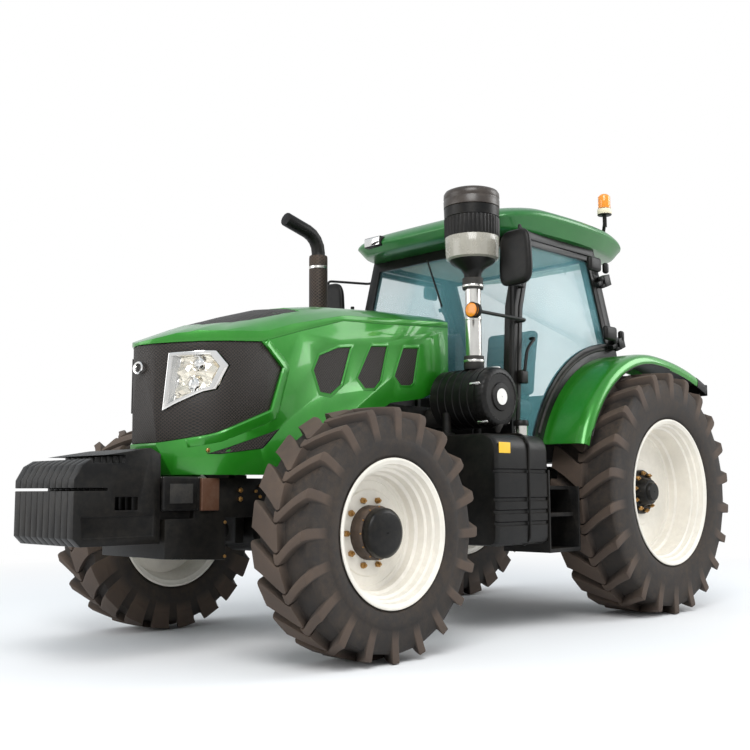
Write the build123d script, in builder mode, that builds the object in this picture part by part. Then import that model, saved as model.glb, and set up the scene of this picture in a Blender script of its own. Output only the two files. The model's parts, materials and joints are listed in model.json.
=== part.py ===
"""Farm tractor, row-crop type with front-wheel drive, as an assembly of separate pieces.

Millimetres, +X forward, +Y to the driver's left, +Z up.
The origin is on the ground, halfway between the two axles.
Left-hand pieces are drawn and their right-hand twins are mirrored from them.
"""
import os
from math import cos, pi, radians, sin, sqrt, tan

from build123d import *

os.makedirs("parts", exist_ok=True)

# ---------------------------------------------------------------- clearances
SEAT_GAP = 0.3        # between pieces of one body that are bolted or laid together
BEARING_GAP = 0.5     # between a turning piece and what carries it
SWING_GAP = 8.0       # around doors, lids and other moving panels

# ---------------------------------------------------------------- stance
WHEELBASE = 2800.0
FRONT_X = WHEELBASE / 2
REAR_X = -WHEELBASE / 2

# Tyres: 14.9-28 class in front, 18.4-38 class at the rear
FRONT_TYRE_RADIUS = 645.0
FRONT_TYRE_WIDTH = 378.0
FRONT_TYRE_Y = 960.0
FRONT_RIM_FLANGE_RADIUS = 381.0
FRONT_RIM_SEAT_RADIUS = 355.0
FRONT_RIM_WIDTH = 360.0
FRONT_LUG_HEIGHT = 38.0
FRONT_LUG_WIDTH = 62.0
FRONT_LUG_COUNT = 20
FRONT_DISC_Y = 944.0

REAR_TYRE_RADIUS = 840.0
REAR_TYRE_WIDTH = 467.0
REAR_TYRE_Y = 935.0
REAR_RIM_FLANGE_RADIUS = 508.0
REAR_RIM_SEAT_RADIUS = 483.0
REAR_RIM_WIDTH = 436.0
REAR_LUG_HEIGHT = 42.0
REAR_LUG_WIDTH = 70.0
REAR_LUG_COUNT = 22
REAR_DISC_Y = 890.0

FLANGE_THICKNESS = 15.0
RIM_WALL = 10.0
RIM_SIDES = 24
DISC_THICKNESS = 14.0
WELL_STEP = 16.0

FRONT_AXLE_Z = FRONT_TYRE_RADIUS
REAR_AXLE_Z = REAR_TYRE_RADIUS


# ---------------------------------------------------------------- drawing aids
THIN_RADIUS = 25.0
PIPE_RADIUS = 90.0


def side_slab(points, y_from, y_to, mode=Mode.ADD, inset=0.0):
    """A slab with an (x, z) outline, between two places along Y."""
    with BuildSketch(Plane(origin=(0, y_to, 0), x_dir=(1, 0, 0), z_dir=(0, -1, 0))) as outline:
        with BuildLine():
            Polyline(*points, close=True)
        make_face()
        if inset:
            offset(amount=-inset, kind=Kind.INTERSECTION)
    extrude(outline.sketch, amount=y_to - y_from, mode=mode)


def plan_slab(points, z_from, z_to, mode=Mode.ADD):
    """A slab with an (x, y) outline, between two heights of Z."""
    with BuildSketch(Plane.XY.offset(z_from)) as outline:
        with BuildLine():
            Polyline(*points, close=True)
        make_face()
    extrude(outline.sketch, amount=z_to - z_from, mode=mode)


def front_slab(points, x_from, x_to, mode=Mode.ADD):
    """A slab with a (y, z) outline, between two places along X."""
    with BuildSketch(Plane(origin=(x_from, 0, 0), x_dir=(0, 1, 0), z_dir=(1, 0, 0))) as outline:
        with BuildLine():
            Polyline(*points, close=True)
        make_face()
    extrude(outline.sketch, amount=x_to - x_from, mode=mode)


def block(x_from, x_to, y_from, y_to, z_from, z_to, mode=Mode.ADD):
    """A box between two corners."""
    with Locations(((x_from + x_to) / 2, (y_from + y_to) / 2, (z_from + z_to) / 2)):
        Box(x_to - x_from, y_to - y_from, z_to - z_from, mode=mode)


def turned_rod(start, end, radius, mode=Mode.ADD):
    """A truly round bar or hole, for pins, bores and hinge barrels."""
    start = Vector(*start)
    run = Vector(*end) - start
    with BuildSketch(Plane(origin=start, z_dir=run)) as section:
        Circle(radius)
    extrude(section.sketch, amount=run.length, mode=mode)


def rod(start, end, radius, mode=Mode.ADD):
    """A bar drawn with flats: 8 on a thin one, 12 on a pipe and 20 on a drum."""
    sides = 8 if radius < THIN_RADIUS else 12 if radius < PIPE_RADIUS else 20
    start = Vector(*start)
    run = Vector(*end) - start
    with BuildSketch(Plane(origin=start, z_dir=run)) as section:
        RegularPolygon(radius, sides)
    extrude(section.sketch, amount=run.length, mode=mode)


def right_hand(left):
    """The right-hand twin of a left-hand piece."""
    with BuildPart() as twin:
        mirror(left.part, about=Plane.XZ)
    return twin


def save(piece, label):
    """Label a finished piece and write it to its own file."""
    piece.part.label = label
    export_step(piece.part, f"parts/{label}.step")


def save_both(left, label):
    """Write a left-hand piece and its right-hand twin as one node."""
    with BuildPart() as both:
        add(left.part)
        mirror(left.part, about=Plane.XZ)
    save(both, label)


def save_pair(left, label):
    """Write a left-hand piece and its right-hand twin."""
    save(left, f"{label}_left")
    save(right_hand(left), f"{label}_right")


# ================================================================ wheels
# A bias-ply farm tyre: a carcass with one flat for each lug pitch, and chevron lugs
# that run from the middle of the tread down over both shoulders.
def lug_bar(centre, radius, lug_height, lug_width, half_width, lug_count):
    """One outboard lug, at the top of the wheel: its nose leads and its outer end lags."""
    shoulder_depth = 2.4 * lug_height
    lead = 0.36 * 2 * pi * radius / lug_count
    top_radius = sqrt(radius ** 2 - (lead + 0.5 * lug_width) ** 2)
    base = Plane(origin=(centre[0], centre[1], centre[2] + radius - shoulder_depth),
                 x_dir=(0, 1, 0), z_dir=(0, 0, 1))
    # place out from the middle, lag behind the nose, half the bar's width
    stations = ((-0.12 * lug_width, -lead, 0.42 * lug_width), (half_width - 9, lead, 0.5 * lug_width))
    with BuildPart() as lug:
        with BuildSketch(base):
            with BuildLine():
                Polyline(*[(out, lag - wide) for out, lag, wide in stations],
                         *[(out, lag + wide) for out, lag, wide in reversed(stations)], close=True)
            make_face()
        extrude(amount=top_radius - (radius - shoulder_depth))
    return lug


def carcass_sector(centre, width, tread_radius, seat_radius, flange_radius, rim_width, lug_count):
    """One pitch of the carcass, at the top of the wheel."""
    half = width / 2
    bead_half = rim_width / 2 - FLANGE_THICKNESS - SEAT_GAP
    bulge_radius = flange_radius + 0.4 * (tread_radius - flange_radius)
    # distance out from the middle of the tyre, radius
    wall = ((bead_half, seat_radius + SEAT_GAP), (bead_half, flange_radius + 8), (half, bulge_radius),
            (0.87 * half, tread_radius))
    half_pitch = pi / lug_count
    reach = tread_radius * tan(half_pitch) + 5
    with BuildPart() as sector:
        with BuildSketch(Plane(origin=(centre[0] - reach, centre[1], centre[2]), x_dir=(0, 1, 0),
                               z_dir=(1, 0, 0))):
            with BuildLine():
                Polyline(*wall, *[(-out, radius) for out, radius in reversed(wall)], close=True)
            make_face()
        extrude(amount=2 * reach)
        for side in (-1, 1):
            split(bisect_by=Plane(origin=centre, z_dir=(side * cos(half_pitch), 0, -sin(half_pitch))),
                  keep=Keep.BOTTOM)
    return sector


def lugged_tyre(centre, radius, width, seat_radius, flange_radius, rim_width, lug_height, lug_width,
                lug_count):
    axle = Axis(centre, (0, 1, 0))
    pitch = 360 / lug_count
    sector = carcass_sector(centre, width, radius - lug_height - 6, seat_radius, flange_radius, rim_width,
                            lug_count).part
    outer = lug_bar(centre, radius, lug_height, lug_width, width / 2, lug_count).part
    inner = mirror(outer, about=Plane(origin=centre, x_dir=(1, 0, 0), z_dir=(0, 1, 0)))
    with BuildPart() as tyre:
        add([sector.rotate(axle, step * pitch) for step in range(lug_count)])
        add([outer.rotate(axle, step * pitch) for step in range(lug_count)]
            + [inner.rotate(axle, (step + 0.5) * pitch) for step in range(lug_count)])
    return tyre


def drop_centre_rim(centre, seat_radius, flange_radius, rim_width, disc_y, hub_hole_radius):
    half = rim_width / 2
    hub_plane = Plane(origin=centre, x_dir=(1, 0, 0), z_dir=(0, 1, 0))
    disc_out = disc_y - centre[1]
    bore_radius = seat_radius - RIM_WALL
    # from, to (out from the rim's middle), radius, added or cut
    turned = (
        (-half, -half + FLANGE_THICKNESS, flange_radius, Mode.ADD),
        (-half + FLANGE_THICKNESS, half - FLANGE_THICKNESS, seat_radius, Mode.ADD),
        (half - FLANGE_THICKNESS, half, flange_radius, Mode.ADD),
        (-half, disc_out - DISC_THICKNESS, bore_radius, Mode.SUBTRACT),
        (disc_out, half, bore_radius - 2 * WELL_STEP, Mode.SUBTRACT),
        (disc_out + 55, half, bore_radius - WELL_STEP, Mode.SUBTRACT),
        (disc_out + 115, half, bore_radius, Mode.SUBTRACT),
        (disc_out - DISC_THICKNESS, disc_out, hub_hole_radius, Mode.SUBTRACT),
    )
    with BuildPart() as rim:
        for start, end, radius, mode in turned:
            with BuildSketch(hub_plane.offset(start)):
                RegularPolygon(radius, RIM_SIDES)
            extrude(amount=end - start, mode=mode)
    return rim


front_wheel_centre = (FRONT_X, FRONT_TYRE_Y, FRONT_AXLE_Z)
rear_wheel_centre = (REAR_X, REAR_TYRE_Y, REAR_AXLE_Z)

# Front hub with its planetary case, which stands out through the wheel disc
FRONT_HUB_FLANGE_RADIUS = 175.0
FRONT_HUB_CASE_RADIUS = 140.0
FRONT_HUB_CAP_RADIUS = 123.0
FRONT_HUB_CASE_Y = 1052.0
FRONT_HUB_CAP_Y = 1083.0
KINGPIN_Y = 720.0
KNUCKLE_FACE_Y = 830.0

save_pair(lugged_tyre(front_wheel_centre, FRONT_TYRE_RADIUS, FRONT_TYRE_WIDTH, FRONT_RIM_SEAT_RADIUS,
                      FRONT_RIM_FLANGE_RADIUS, FRONT_RIM_WIDTH, FRONT_LUG_HEIGHT, FRONT_LUG_WIDTH,
                      FRONT_LUG_COUNT), "tyre_front")
save_pair(lugged_tyre(rear_wheel_centre, REAR_TYRE_RADIUS, REAR_TYRE_WIDTH, REAR_RIM_SEAT_RADIUS,
                      REAR_RIM_FLANGE_RADIUS, REAR_RIM_WIDTH, REAR_LUG_HEIGHT, REAR_LUG_WIDTH,
                      REAR_LUG_COUNT), "tyre_rear")
FRONT_HUB_HOLE = FRONT_HUB_CASE_RADIUS + 2
REAR_HUB_HOLE = 100.0
save_pair(drop_centre_rim(front_wheel_centre, FRONT_RIM_SEAT_RADIUS, FRONT_RIM_FLANGE_RADIUS,
                          FRONT_RIM_WIDTH, FRONT_DISC_Y, FRONT_HUB_HOLE), "rim_front")
save_pair(drop_centre_rim(rear_wheel_centre, REAR_RIM_SEAT_RADIUS, REAR_RIM_FLANGE_RADIUS,
                          REAR_RIM_WIDTH, REAR_DISC_Y, REAR_HUB_HOLE), "rim_rear")

with BuildPart() as hub_front:
    # from y, to y, radius
    for y_from, y_to, radius in (
        (KNUCKLE_FACE_Y + BEARING_GAP, FRONT_DISC_Y - DISC_THICKNESS - SEAT_GAP, FRONT_HUB_FLANGE_RADIUS),
        (FRONT_DISC_Y - DISC_THICKNESS - SEAT_GAP, FRONT_HUB_CASE_Y, FRONT_HUB_CASE_RADIUS),
        (FRONT_HUB_CASE_Y, FRONT_HUB_CAP_Y, FRONT_HUB_CAP_RADIUS),
    ):
        rod((FRONT_X, y_from, FRONT_AXLE_Z), (FRONT_X, y_to, FRONT_AXLE_Z), radius)
    turned_rod((FRONT_X, FRONT_HUB_CAP_Y - 1, FRONT_AXLE_Z), (FRONT_X, FRONT_HUB_CAP_Y + 3, FRONT_AXLE_Z), 60)
save_pair(hub_front, "hub_front")

REAR_HUB_FLANGE_RADIUS = 157.0
REAR_HUB_FLANGE_THICKNESS = 34.0
REAR_HUB_NOSE_Y = 1000.0
REAR_AXLE_RADIUS = 50.0
REAR_AXLE_END_Y = 1032.0
TRUMPET_END_Y = 660.0
with BuildPart() as hub_rear:
    flange_y = REAR_DISC_Y + SEAT_GAP
    cone_y = flange_y + REAR_HUB_FLANGE_THICKNESS
    rod((REAR_X, flange_y, REAR_AXLE_Z), (REAR_X, cone_y, REAR_AXLE_Z), REAR_HUB_FLANGE_RADIUS)
    for y, radius in ((cone_y, 125), (REAR_HUB_NOSE_Y, 88)):
        with BuildSketch(Plane(origin=(REAR_X, y, REAR_AXLE_Z), x_dir=(1, 0, 0), z_dir=(0, 1, 0))):
            RegularPolygon(radius, 16)
    loft(ruled=True)
    turned_rod((REAR_X, TRUMPET_END_Y + BEARING_GAP, REAR_AXLE_Z), (REAR_X, REAR_AXLE_END_Y, REAR_AXLE_Z),
        REAR_AXLE_RADIUS)
save_pair(hub_rear, "hub_rear")

# ================================================================ front axle
KINGPIN_EAR_RADIUS = 70.0
KINGPIN_EAR_GAP = 105.5
KINGPIN_EAR_TOP = 160.0
AXLE_FORK_Y = 640.0
AXLE_ARM_HALF_DEPTH = 58.0
DIFF_RADIUS = 130.0
DIFF_HALF_WIDTH = 150.0
PINION_NOSE_RADIUS = 50.0
FRONT_EAR_X = FRONT_X + 160
REAR_EAR_X = FRONT_X - 300
EAR_THICKNESS = 60.0

with BuildPart() as front_axle_beam:
    rod((FRONT_X, -DIFF_HALF_WIDTH, FRONT_AXLE_Z), (FRONT_X, DIFF_HALF_WIDTH, FRONT_AXLE_Z), DIFF_RADIUS)
    for side in (-1, 1):
        for y, half_depth, half_height in ((DIFF_HALF_WIDTH - 5, 90, 105), (AXLE_FORK_Y - 60, 58, 75)):
            with BuildSketch(Plane(origin=(FRONT_X, side * y, FRONT_AXLE_Z), x_dir=(1, 0, 0),
                                   z_dir=(0, side, 0))):
                Rectangle(2 * half_depth, 2 * half_height)
        loft(ruled=True)
        y_low, y_high = sorted((side * (AXLE_FORK_Y - 62), side * AXLE_FORK_Y))
        block(FRONT_X - AXLE_ARM_HALF_DEPTH, FRONT_X + AXLE_ARM_HALF_DEPTH, y_low, y_high,
              FRONT_AXLE_Z - KINGPIN_EAR_TOP, FRONT_AXLE_Z + KINGPIN_EAR_TOP)
        y_low, y_high = sorted((side * (AXLE_FORK_Y - 62), side * KINGPIN_Y))
        for z_from, z_to in ((KINGPIN_EAR_GAP, KINGPIN_EAR_TOP), (-KINGPIN_EAR_TOP, -KINGPIN_EAR_GAP)):
            block(FRONT_X - AXLE_ARM_HALF_DEPTH, FRONT_X + AXLE_ARM_HALF_DEPTH, y_low, y_high,
                  FRONT_AXLE_Z + z_from, FRONT_AXLE_Z + z_to)
            rod((FRONT_X, side * KINGPIN_Y, FRONT_AXLE_Z + z_from),
                (FRONT_X, side * KINGPIN_Y, FRONT_AXLE_Z + z_to), KINGPIN_EAR_RADIUS)
    rod((REAR_EAR_X - 40, 0, FRONT_AXLE_Z), (FRONT_X, 0, FRONT_AXLE_Z), PINION_NOSE_RADIUS)
    rod((FRONT_X, 0, FRONT_AXLE_Z), (FRONT_EAR_X + EAR_THICKNESS, 0, FRONT_AXLE_Z), PINION_NOSE_RADIUS)
save(front_axle_beam, "front_axle_beam")

STEERING_ARM_LENGTH = 200.0
STEERING_ARM_HALF_WIDTH = 20.0
ARM_TOP = -20.0
ARM_BOTTOM = -60.0
TRACK_ROD_RADIUS = 16.0
TRACK_ROD_EYE_RADIUS = 28.0
TRACK_ROD_DROP = -86.0
with BuildPart() as knuckle:
    turned_rod((FRONT_X, KINGPIN_Y, FRONT_AXLE_Z - KINGPIN_EAR_GAP + BEARING_GAP),
               (FRONT_X, KINGPIN_Y, FRONT_AXLE_Z + KINGPIN_EAR_GAP - BEARING_GAP), 72)
    rod((FRONT_X, KINGPIN_Y, FRONT_AXLE_Z), (FRONT_X, KNUCKLE_FACE_Y - 30, FRONT_AXLE_Z), 95)
    rod((FRONT_X, KNUCKLE_FACE_Y - 32, FRONT_AXLE_Z), (FRONT_X, KNUCKLE_FACE_Y, FRONT_AXLE_Z), 165)
    block(FRONT_X - STEERING_ARM_LENGTH, FRONT_X, KINGPIN_Y - STEERING_ARM_HALF_WIDTH,
          KINGPIN_Y + STEERING_ARM_HALF_WIDTH, FRONT_AXLE_Z + ARM_BOTTOM, FRONT_AXLE_Z + ARM_TOP)
    rod((FRONT_X - STEERING_ARM_LENGTH, KINGPIN_Y, FRONT_AXLE_Z + ARM_BOTTOM),
        (FRONT_X - STEERING_ARM_LENGTH, KINGPIN_Y, FRONT_AXLE_Z + ARM_TOP), TRACK_ROD_EYE_RADIUS)
save_pair(knuckle, "knuckle")

with BuildPart() as tie_rod:
    rod_x = FRONT_X - STEERING_ARM_LENGTH
    rod_z = FRONT_AXLE_Z + TRACK_ROD_DROP
    rod((rod_x, -KINGPIN_Y, rod_z), (rod_x, KINGPIN_Y, rod_z), TRACK_ROD_RADIUS)
    for side in (-1, 1):
        rod((rod_x, side * KINGPIN_Y, rod_z - 18), (rod_x, side * KINGPIN_Y, rod_z + 18),
            TRACK_ROD_EYE_RADIUS)
        turned_rod((rod_x, side * KINGPIN_Y, rod_z + 18),
                   (rod_x, side * KINGPIN_Y, FRONT_AXLE_Z + ARM_BOTTOM - BEARING_GAP), 12)
save(tie_rod, "tie_rod")

# ================================================================ chassis
FRAME_HALF_WIDTH = 300.0
FRAME_TOP_Z = 930.0
FRAME_BOTTOM_Z = 720.0
FRAME_OVER_AXLE_Z = 815.0
FRAME_FRONT_X = FRONT_X + 635
CHIN_Z = 947.0        # lower edge of the hood, which rests on the frame
ENGINE_FRONT_X = FRONT_X - 345
ENGINE_REAR_X = FRONT_X - 1245
ENGINE_HALF_WIDTH = 280.0
ENGINE_BOTTOM_Z = 700.0
ENGINE_TOP_Z = 1400.0

WEIGHT_REAR_X = FRONT_X + 840
GUARD_REAR_X = FRONT_X + 430
GUARD_FRONT_X = FRONT_X + 810
GUARD_BOTTOM_Z = 500.0
REST_X = FRONT_X + 330
with BuildPart() as front_frame:
    side_slab([
        (ENGINE_FRONT_X + SEAT_GAP, FRAME_TOP_Z), (ENGINE_FRONT_X + SEAT_GAP, ENGINE_BOTTOM_Z),
        (REAR_EAR_X, ENGINE_BOTTOM_Z), (REAR_EAR_X + EAR_THICKNESS + 30, FRAME_OVER_AXLE_Z),
        (FRONT_EAR_X - 20, FRAME_OVER_AXLE_Z), (FRONT_EAR_X + 40, FRAME_BOTTOM_Z),
        (GUARD_REAR_X, FRAME_BOTTOM_Z), (GUARD_REAR_X, GUARD_BOTTOM_Z), (GUARD_FRONT_X, GUARD_BOTTOM_Z + 20),
        (GUARD_FRONT_X, FRAME_BOTTOM_Z), (FRAME_FRONT_X, FRAME_BOTTOM_Z), (FRAME_FRONT_X, FRAME_TOP_Z)],
        -FRAME_HALF_WIDTH, FRAME_HALF_WIDTH)
    block(FRAME_FRONT_X - 10, WEIGHT_REAR_X - SEAT_GAP, -260, 260, FRAME_BOTTOM_Z, FRAME_TOP_Z)
    for ear_x in (FRONT_EAR_X, REAR_EAR_X):
        block(ear_x, ear_x + EAR_THICKNESS, -110, 110, FRONT_AXLE_Z - 75, FRAME_OVER_AXLE_Z)
    rod((REAR_EAR_X - 60, 0, FRONT_AXLE_Z), (FRONT_EAR_X + EAR_THICKNESS + 10, 0, FRONT_AXLE_Z),
        PINION_NOSE_RADIUS + SEAT_GAP, mode=Mode.SUBTRACT)
    for side in (-1, 1):
        block(REST_X - 40, REST_X + 40, side * 270 - 30, side * 270 + 30, FRAME_TOP_Z, CHIN_Z - BEARING_GAP)
save(front_frame, "front_frame")

HOOD_REAR_X = FRONT_X - 1290
HOOD_PIVOT_X = HOOD_REAR_X + 60
HOOD_PIVOT_Z = 1850.0
HOOD_PIVOT_RADIUS = 14.0
HOOD_ARM_Y = 240.0
HOOD_ARM_TOP_Z = 1998.0
# One plain block for the closed-in engine, with the two posts and the cross tube of the hood's hinge
with BuildPart() as engine:
    block(ENGINE_REAR_X, ENGINE_FRONT_X, -ENGINE_HALF_WIDTH, ENGINE_HALF_WIDTH, ENGINE_BOTTOM_Z,
          ENGINE_TOP_Z)
    turned_rod((HOOD_PIVOT_X, -300, HOOD_PIVOT_Z), (HOOD_PIVOT_X, 300, HOOD_PIVOT_Z), HOOD_PIVOT_RADIUS)
    for side in (-1, 1):
        post_y = side * (HOOD_ARM_Y - 60)
        block(HOOD_PIVOT_X - 13, HOOD_PIVOT_X + 13, post_y - 15, post_y + 15, ENGINE_TOP_Z, HOOD_PIVOT_Z)
save(engine, "engine")

GEARBOX_HALF_WIDTH = 220.0
GEARBOX_BOTTOM_Z = 520.0
GEARBOX_TOP_Z = 990.0
GEARBOX_REAR_X = REAR_X + 280
REAR_HOUSING_HALF_WIDTH = 270.0
REAR_HOUSING_BACK_X = REAR_X - 300
REAR_HOUSING_TOP_Z = 1030.0
TRUMPET_INNER_RADIUS = 140.0
TRUMPET_OUTER_RADIUS = 100.0
CAB_FLOOR_Z = 1060.0
TANK_REAR_X = REAR_X + 1268
TANK_INNER_Y = 500.0
LINK_PIVOT_X = REAR_X - 270
LINK_PIVOT_Z = 520.0
LINK_PIVOT_Y = 320.0
LINK_PIN_RADIUS = 20.0
LIFT_SHAFT_X = REAR_X - 230
LIFT_SHAFT_Z = 960.0
LIFT_SHAFT_RADIUS = 30.0
TOP_LINK_X = REAR_HOUSING_BACK_X - 55
TOP_LINK_Z = 880.0
TOP_LINK_PIN_RADIUS = 12.0
PTO_Z = 620.0
PTO_RADIUS = 17.5
PTO_LENGTH = 88.0
with BuildPart() as transmission:
    block(GEARBOX_REAR_X, ENGINE_REAR_X - SEAT_GAP, -GEARBOX_HALF_WIDTH, GEARBOX_HALF_WIDTH,
          GEARBOX_BOTTOM_Z, GEARBOX_TOP_Z)
    block(REAR_HOUSING_BACK_X, GEARBOX_REAR_X, -REAR_HOUSING_HALF_WIDTH, REAR_HOUSING_HALF_WIDTH,
          480, REAR_HOUSING_TOP_Z)
    turned_rod((REAR_HOUSING_BACK_X - PTO_LENGTH, 0, PTO_Z), (REAR_HOUSING_BACK_X, 0, PTO_Z), PTO_RADIUS)
    for side in (-1, 1):
        for y, radius in ((REAR_HOUSING_HALF_WIDTH - 2, TRUMPET_INNER_RADIUS),
                          (TRUMPET_END_Y, TRUMPET_OUTER_RADIUS)):
            with BuildSketch(Plane(origin=(REAR_X, side * y, REAR_AXLE_Z), x_dir=(1, 0, 0),
                                   z_dir=(0, side, 0))):
                RegularPolygon(radius, 16)
        loft(ruled=True)
        # pins for the lower links and the lift arms
        turned_rod((LINK_PIVOT_X, side * (REAR_HOUSING_HALF_WIDTH - 2), LINK_PIVOT_Z),
                   (LINK_PIVOT_X, side * (LINK_PIVOT_Y + 24), LINK_PIVOT_Z), LINK_PIN_RADIUS)
        turned_rod((LIFT_SHAFT_X, side * (REAR_HOUSING_HALF_WIDTH - 2), LIFT_SHAFT_Z),
                   (LIFT_SHAFT_X, side * (REAR_HOUSING_HALF_WIDTH + 40), LIFT_SHAFT_Z), LIFT_SHAFT_RADIUS)
        # ears of the top link
        block(TOP_LINK_X - 30, REAR_HOUSING_BACK_X, side * 38 - 8, side * 38 + 8, TOP_LINK_Z - 35,
              TOP_LINK_Z + 35)
        # brackets under the side tanks, and mounts under the cab
        y_low, y_high = sorted((side * (GEARBOX_HALF_WIDTH - 2), side * (TANK_INNER_Y - SEAT_GAP)))
        for x in (TANK_REAR_X + 80, TANK_REAR_X + 210):
            block(x - 30, x + 30, y_low, y_high, 620, 700)
        for x, y, under_z in ((REAR_X + 1100, 180, GEARBOX_TOP_Z), (REAR_X - 60, 220, REAR_HOUSING_TOP_Z)):
            block(x - 60, x + 60, side * y - 40, side * y + 40, under_z - 2, CAB_FLOOR_Z - SEAT_GAP)
    turned_rod((TOP_LINK_X, -46, TOP_LINK_Z), (TOP_LINK_X, 46, TOP_LINK_Z), TOP_LINK_PIN_RADIUS)
save(transmission, "transmission")

with BuildPart() as drive_shaft:
    rod((ENGINE_REAR_X - 330, 0, GEARBOX_BOTTOM_Z - 140), (ENGINE_REAR_X - 330, 0,
        GEARBOX_BOTTOM_Z - SEAT_GAP), 70)
    rod((ENGINE_REAR_X - 330, 0, GEARBOX_BOTTOM_Z - 108), (REAR_EAR_X - 46, 0, FRONT_AXLE_Z - 6), 30)
    rod((REAR_EAR_X - 60, 0, FRONT_AXLE_Z), (REAR_EAR_X - 40 - SEAT_GAP, 0, FRONT_AXLE_Z), 45)
save(drive_shaft, "drive_shaft")

# Front weights: suitcase plates that hang side by side on the nose bracket
WEIGHT_COUNT = 10
WEIGHT_PITCH = 60.0
WEIGHT_SPACE = 0.6
WEIGHT_LENGTH = 480.0
WEIGHT_BOTTOM_Z = 600.0
WEIGHT_TOP_Z = 1080.0
DISH_DEPTH = 7.0
# Handle slot, hitch-pin step and the slit that opens to the front: x from the rear edge, heights
WEIGHT_SLOTS = ((205, 385, 1000, 1040), (130, 260, 770, 835), (300, 500, 866, 880))
WEIGHT_DISH = [
    (WEIGHT_REAR_X + 40, 640), (WEIGHT_REAR_X + 430, 640), (WEIGHT_REAR_X + 440, 740),
    (WEIGHT_REAR_X + 40, 740)]
with BuildPart() as front_weights:
    nose_x = WEIGHT_REAR_X + WEIGHT_LENGTH
    for index in range(WEIGHT_COUNT):
        y_from = (index - WEIGHT_COUNT / 2) * WEIGHT_PITCH + WEIGHT_SPACE / 2
        y_to = y_from + WEIGHT_PITCH - WEIGHT_SPACE
        side_slab([
            (WEIGHT_REAR_X, WEIGHT_BOTTOM_Z), (nose_x - 40, WEIGHT_BOTTOM_Z), (nose_x, WEIGHT_BOTTOM_Z + 40),
            (nose_x, WEIGHT_TOP_Z - 160), (nose_x - 40, WEIGHT_TOP_Z - 90), (nose_x - 110, WEIGHT_TOP_Z - 50),
            (WEIGHT_REAR_X + 60, WEIGHT_TOP_Z), (WEIGHT_REAR_X, WEIGHT_TOP_Z - 30)], y_from, y_to)
    for x_from, x_to, z_from, z_to in WEIGHT_SLOTS:
        block(WEIGHT_REAR_X + x_from, WEIGHT_REAR_X + x_to, -WEIGHT_PITCH * WEIGHT_COUNT / 2,
              WEIGHT_PITCH * WEIGHT_COUNT / 2, z_from, z_to, mode=Mode.SUBTRACT)
    # the outermost plates are dished on their outer faces
    for side in (-1, 1):
        outer_face = side * (WEIGHT_PITCH * WEIGHT_COUNT / 2 - WEIGHT_SPACE / 2)
        side_slab(WEIGHT_DISH, outer_face - side * DISH_DEPTH, outer_face + side * 20, mode=Mode.SUBTRACT)
save(front_weights, "front_weights")

# ================================================================ hood
HOOD_HALF_WIDTH = 400.0
HOOD_WALL = 14.0
HOOD_SHOULDER_X = FRONT_X + 230
HOOD_NOSE_X = FRONT_X + 800
PANEL_GAP = 1.0
RECESS = 8.0

# Half of the hood in plan, and the crown: x, height in the middle, height at the side
HOOD_PLAN = (
    (HOOD_REAR_X, HOOD_HALF_WIDTH), (HOOD_SHOULDER_X, HOOD_HALF_WIDTH), (FRONT_X + 460, 362),
    (FRONT_X + 600, 305), (FRONT_X + 700, 205), (FRONT_X + 770, 105))
HOOD_CROWN = (
    (HOOD_REAR_X - 20, 2030.0, 1948.0),
    (FRONT_X - 800, 2020.0, 1908.0),
    (FRONT_X - 350, 1987.0, 1877.0),
    (FRONT_X + 40, 1930.0, 1778.0),
    (FRONT_X + 270, 1862.0, 1706.0),
    (FRONT_X + 490, 1790.0, 1668.0),
    (HOOD_NOSE_X + 5, 1655.0, 1642.0),
)
CROWN_HALF_WIDTH = HOOD_HALF_WIDTH + 30
# Out from the middle as a share of the half width, and the share of the fall reached there
CROWN_SECTION = ((0.0, 0.0), (0.3, 0.07), (0.58, 0.27), (0.8, 0.58), (0.92, 0.85), (1.0, 1.0))


def crown_block(inset):
    """Everything below the crown surface, as a body with flat facets."""
    shares = [(-out, fall) for out, fall in reversed(CROWN_SECTION)] + list(CROWN_SECTION[1:])
    rows = [[(x, out * CROWN_HALF_WIDTH, middle - fall * (middle - side) - inset) for out, fall in shares]
            for x, middle, side in HOOD_CROWN]
    feet = [((row[0][0], -CROWN_HALF_WIDTH, 900.0), (row[0][0], CROWN_HALF_WIDTH, 900.0)) for row in rows]
    outlines = [
        [feet[0][0], *rows[0], feet[0][1]],
        [feet[-1][0], *rows[-1], feet[-1][1]],
        [feet[0][0], *[row[0] for row in rows], feet[-1][0]],
        [feet[0][1], *[row[-1] for row in rows], feet[-1][1]],
        [feet[0][0], feet[0][1], feet[-1][1], feet[-1][0]],
    ]
    for behind, ahead in zip(rows, rows[1:]):
        for step in range(len(shares) - 1):
            outlines.append([behind[step], behind[step + 1], ahead[step + 1]])
            outlines.append([behind[step], ahead[step + 1], ahead[step]])
    return Solid(Shell([Face(Wire.make_polygon(points, close=True)) for points in outlines]))


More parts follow.
